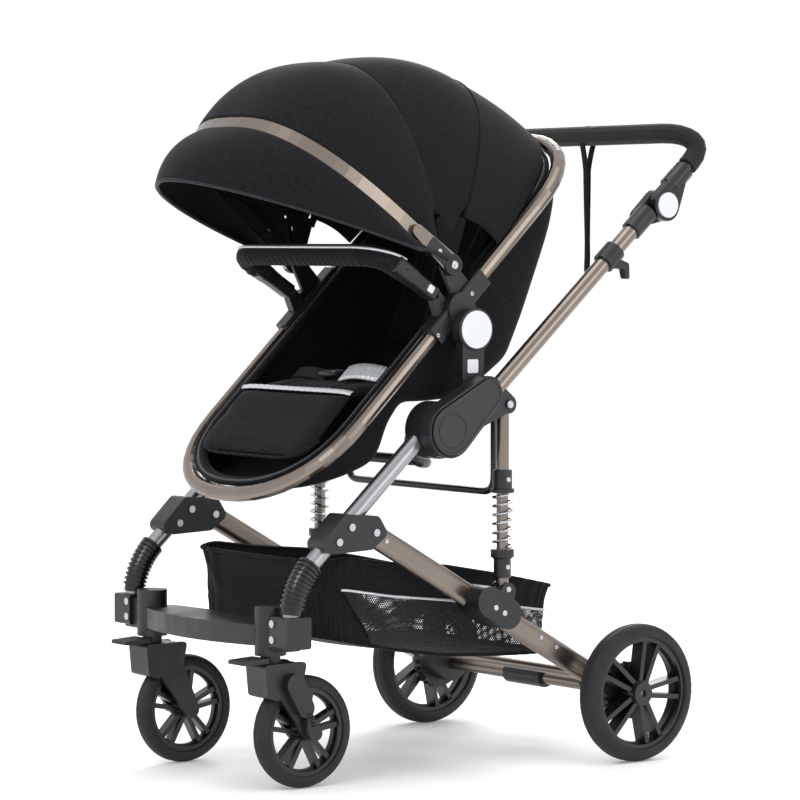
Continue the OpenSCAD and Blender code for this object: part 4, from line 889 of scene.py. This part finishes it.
turn_full = full_turn(80)
circle = lambda c, r: np.array(c) + r * np.stack([np.cos(turn_full), np.sin(turn_full)], -1)
for side, name in ((1, "left"), (-1, "right")):
    cover_a, cover_b = (-0.097, 0.563), (-0.020, 0.620)
    rim(f"joint_cover_rim_{name}", capsule(cover_a, 0.0372, cover_b, 0.0222), side * 0.2729, 0.0018, smooth_nylon,
        "handle", "grey_black_plastic", squash=1.3)
    rim(f"joint_cover_circle_{name}", circle(cover_a, 0.0270), side * 0.2732, 0.0007, nylon, "handle",
        "black_plastic")
    rim(f"joint_cover_step_{name}", capsule(cover_a, 0.0415, cover_b, 0.0265), side * 0.2692, 0.0012, smooth_nylon,
        "handle", "grey_black_plastic")
    for kind, part, size, n, x, radius, body in (("hub", "hub_button", 0.0324, 2, 0.2402, 0.0022, "seat"),
            ("seat_release", "seat_release", 0.0138, 7, 0.2393, 0.0009, "seat"),
            ("handle_button", "handle_button", 0.0222, 2, 0.2738, 0.0016, "handle_upper")):
        mid = np.mean(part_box(f"{part}_{name}"), 0)[1:]
        edge = mid + size * np.stack([power(np.cos(turn_full), n), power(np.sin(turn_full), n)], -1)
        rim(f"{kind}_rim_{name}", edge, side * x, radius, nylon, body, "black_plastic")
    # the link is a box with rounded edges from the pivot disc to the bow's end
    u, v = np.linspace(0, np.pi, 25)[:, None], full_turn(40)[None]
    long = 0.0255 * power(np.cos(u), 7) + 0 * v
    wide = 0.0126 * power(np.sin(u), 7) * power(np.cos(v), 5)
    deep = 0.0054 * power(np.sin(u), 7) * power(np.sin(v), 5)
    across = np.array([bow_way[1], -bow_way[0]])
    spot = pivot + 0.0345 * bow_way
    yz = spot + long[..., None] * bow_way + wide[..., None] * across
    sleeve = surface(f"bow_link_{name}", np.concatenate([(side * 0.2205 + side * deep)[..., None], yz], -1), nylon,
        (False, True), solid=True)
    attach(sleeve, "canopy_front")
    # the pivot disc is turned: a stepped face with a raised edge round the rivet
    stops = np.array([(0, 227.6), (7, 227.6), (8.5, 226.2), (11.5, 225.8), (12.8, 227.4), (15.2, 227.6),
        (17.2, 226.2), (17.7, 223), (17.7, 214), (0, 213.8)]) / 1000
    disc = turned((0, *pivot), np.broadcast_to(stops[:, 0], (64, 10)),
        np.broadcast_to(side * stops[:, 1], (64, 10)), full_turn(64))
    disc = surface(f"bow_pivot_disc_{name}", disc, nylon, (True, False), solid=True)
    edge = disc.modifiers.new("edge", "BEVEL")
    edge.width, edge.segments, edge.limit_method = 0.0004, 2, "ANGLE"
    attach(disc, "canopy_front")

# ---------- Spring collars ----------
# Two black nylon collars hold each coil: a flanged seat at the foot, pinned through the rod, and a plain one on
# top. They are turned shapes about the strut's upright axis.


def upright(name, centre, stops, material, body):
    """A lathe about a vertical line: (radius, height) stops in millimetres are carried round the centre."""
    r, z = np.array(stops).T[:, None] / 1000
    a = full_turn(64)[:, None]
    grid = np.stack([centre[0] + r * np.cos(a), centre[1] + r * np.sin(a), z + 0 * a], -1)
    piece = surface(name, grid, material, (True, True), solid=True)
    edge = piece.modifiers.new("edge", "BEVEL")
    edge.width, edge.segments, edge.limit_method = 0.0005, 2, "ANGLE"
    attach(piece, body)
    return piece


strut_line = (0.2515, 0.022)
for side, name in ((1, "left"), (-1, "right")):
    centre = (side * strut_line[0], strut_line[1])
    upright(f"spring_seat_{name}", centre, [(11.8, 320), (14.2, 320.5), (14.2, 350), (16.2, 352.5), (19.2, 353.5),
        (19.2, 366.4), (11.8, 366.4)], nylon, "strut_lower")
    upright(f"spring_collar_{name}", centre, [(11.8, 458.4), (19.2, 458.4), (19.2, 464.6), (15.7, 465.6),
        (15.7, 495), (14.8, 495.6), (11.8, 495.6)], nylon, "strut_upper")
heads("spring_seat_pins", both([(0.2656, 0.022, 0.338)]), 0.0046, "strut_lower")
heads("spring_collar_pins", both([(0.2671, 0.022, 0.480)]), 0.0046, "strut_upper")
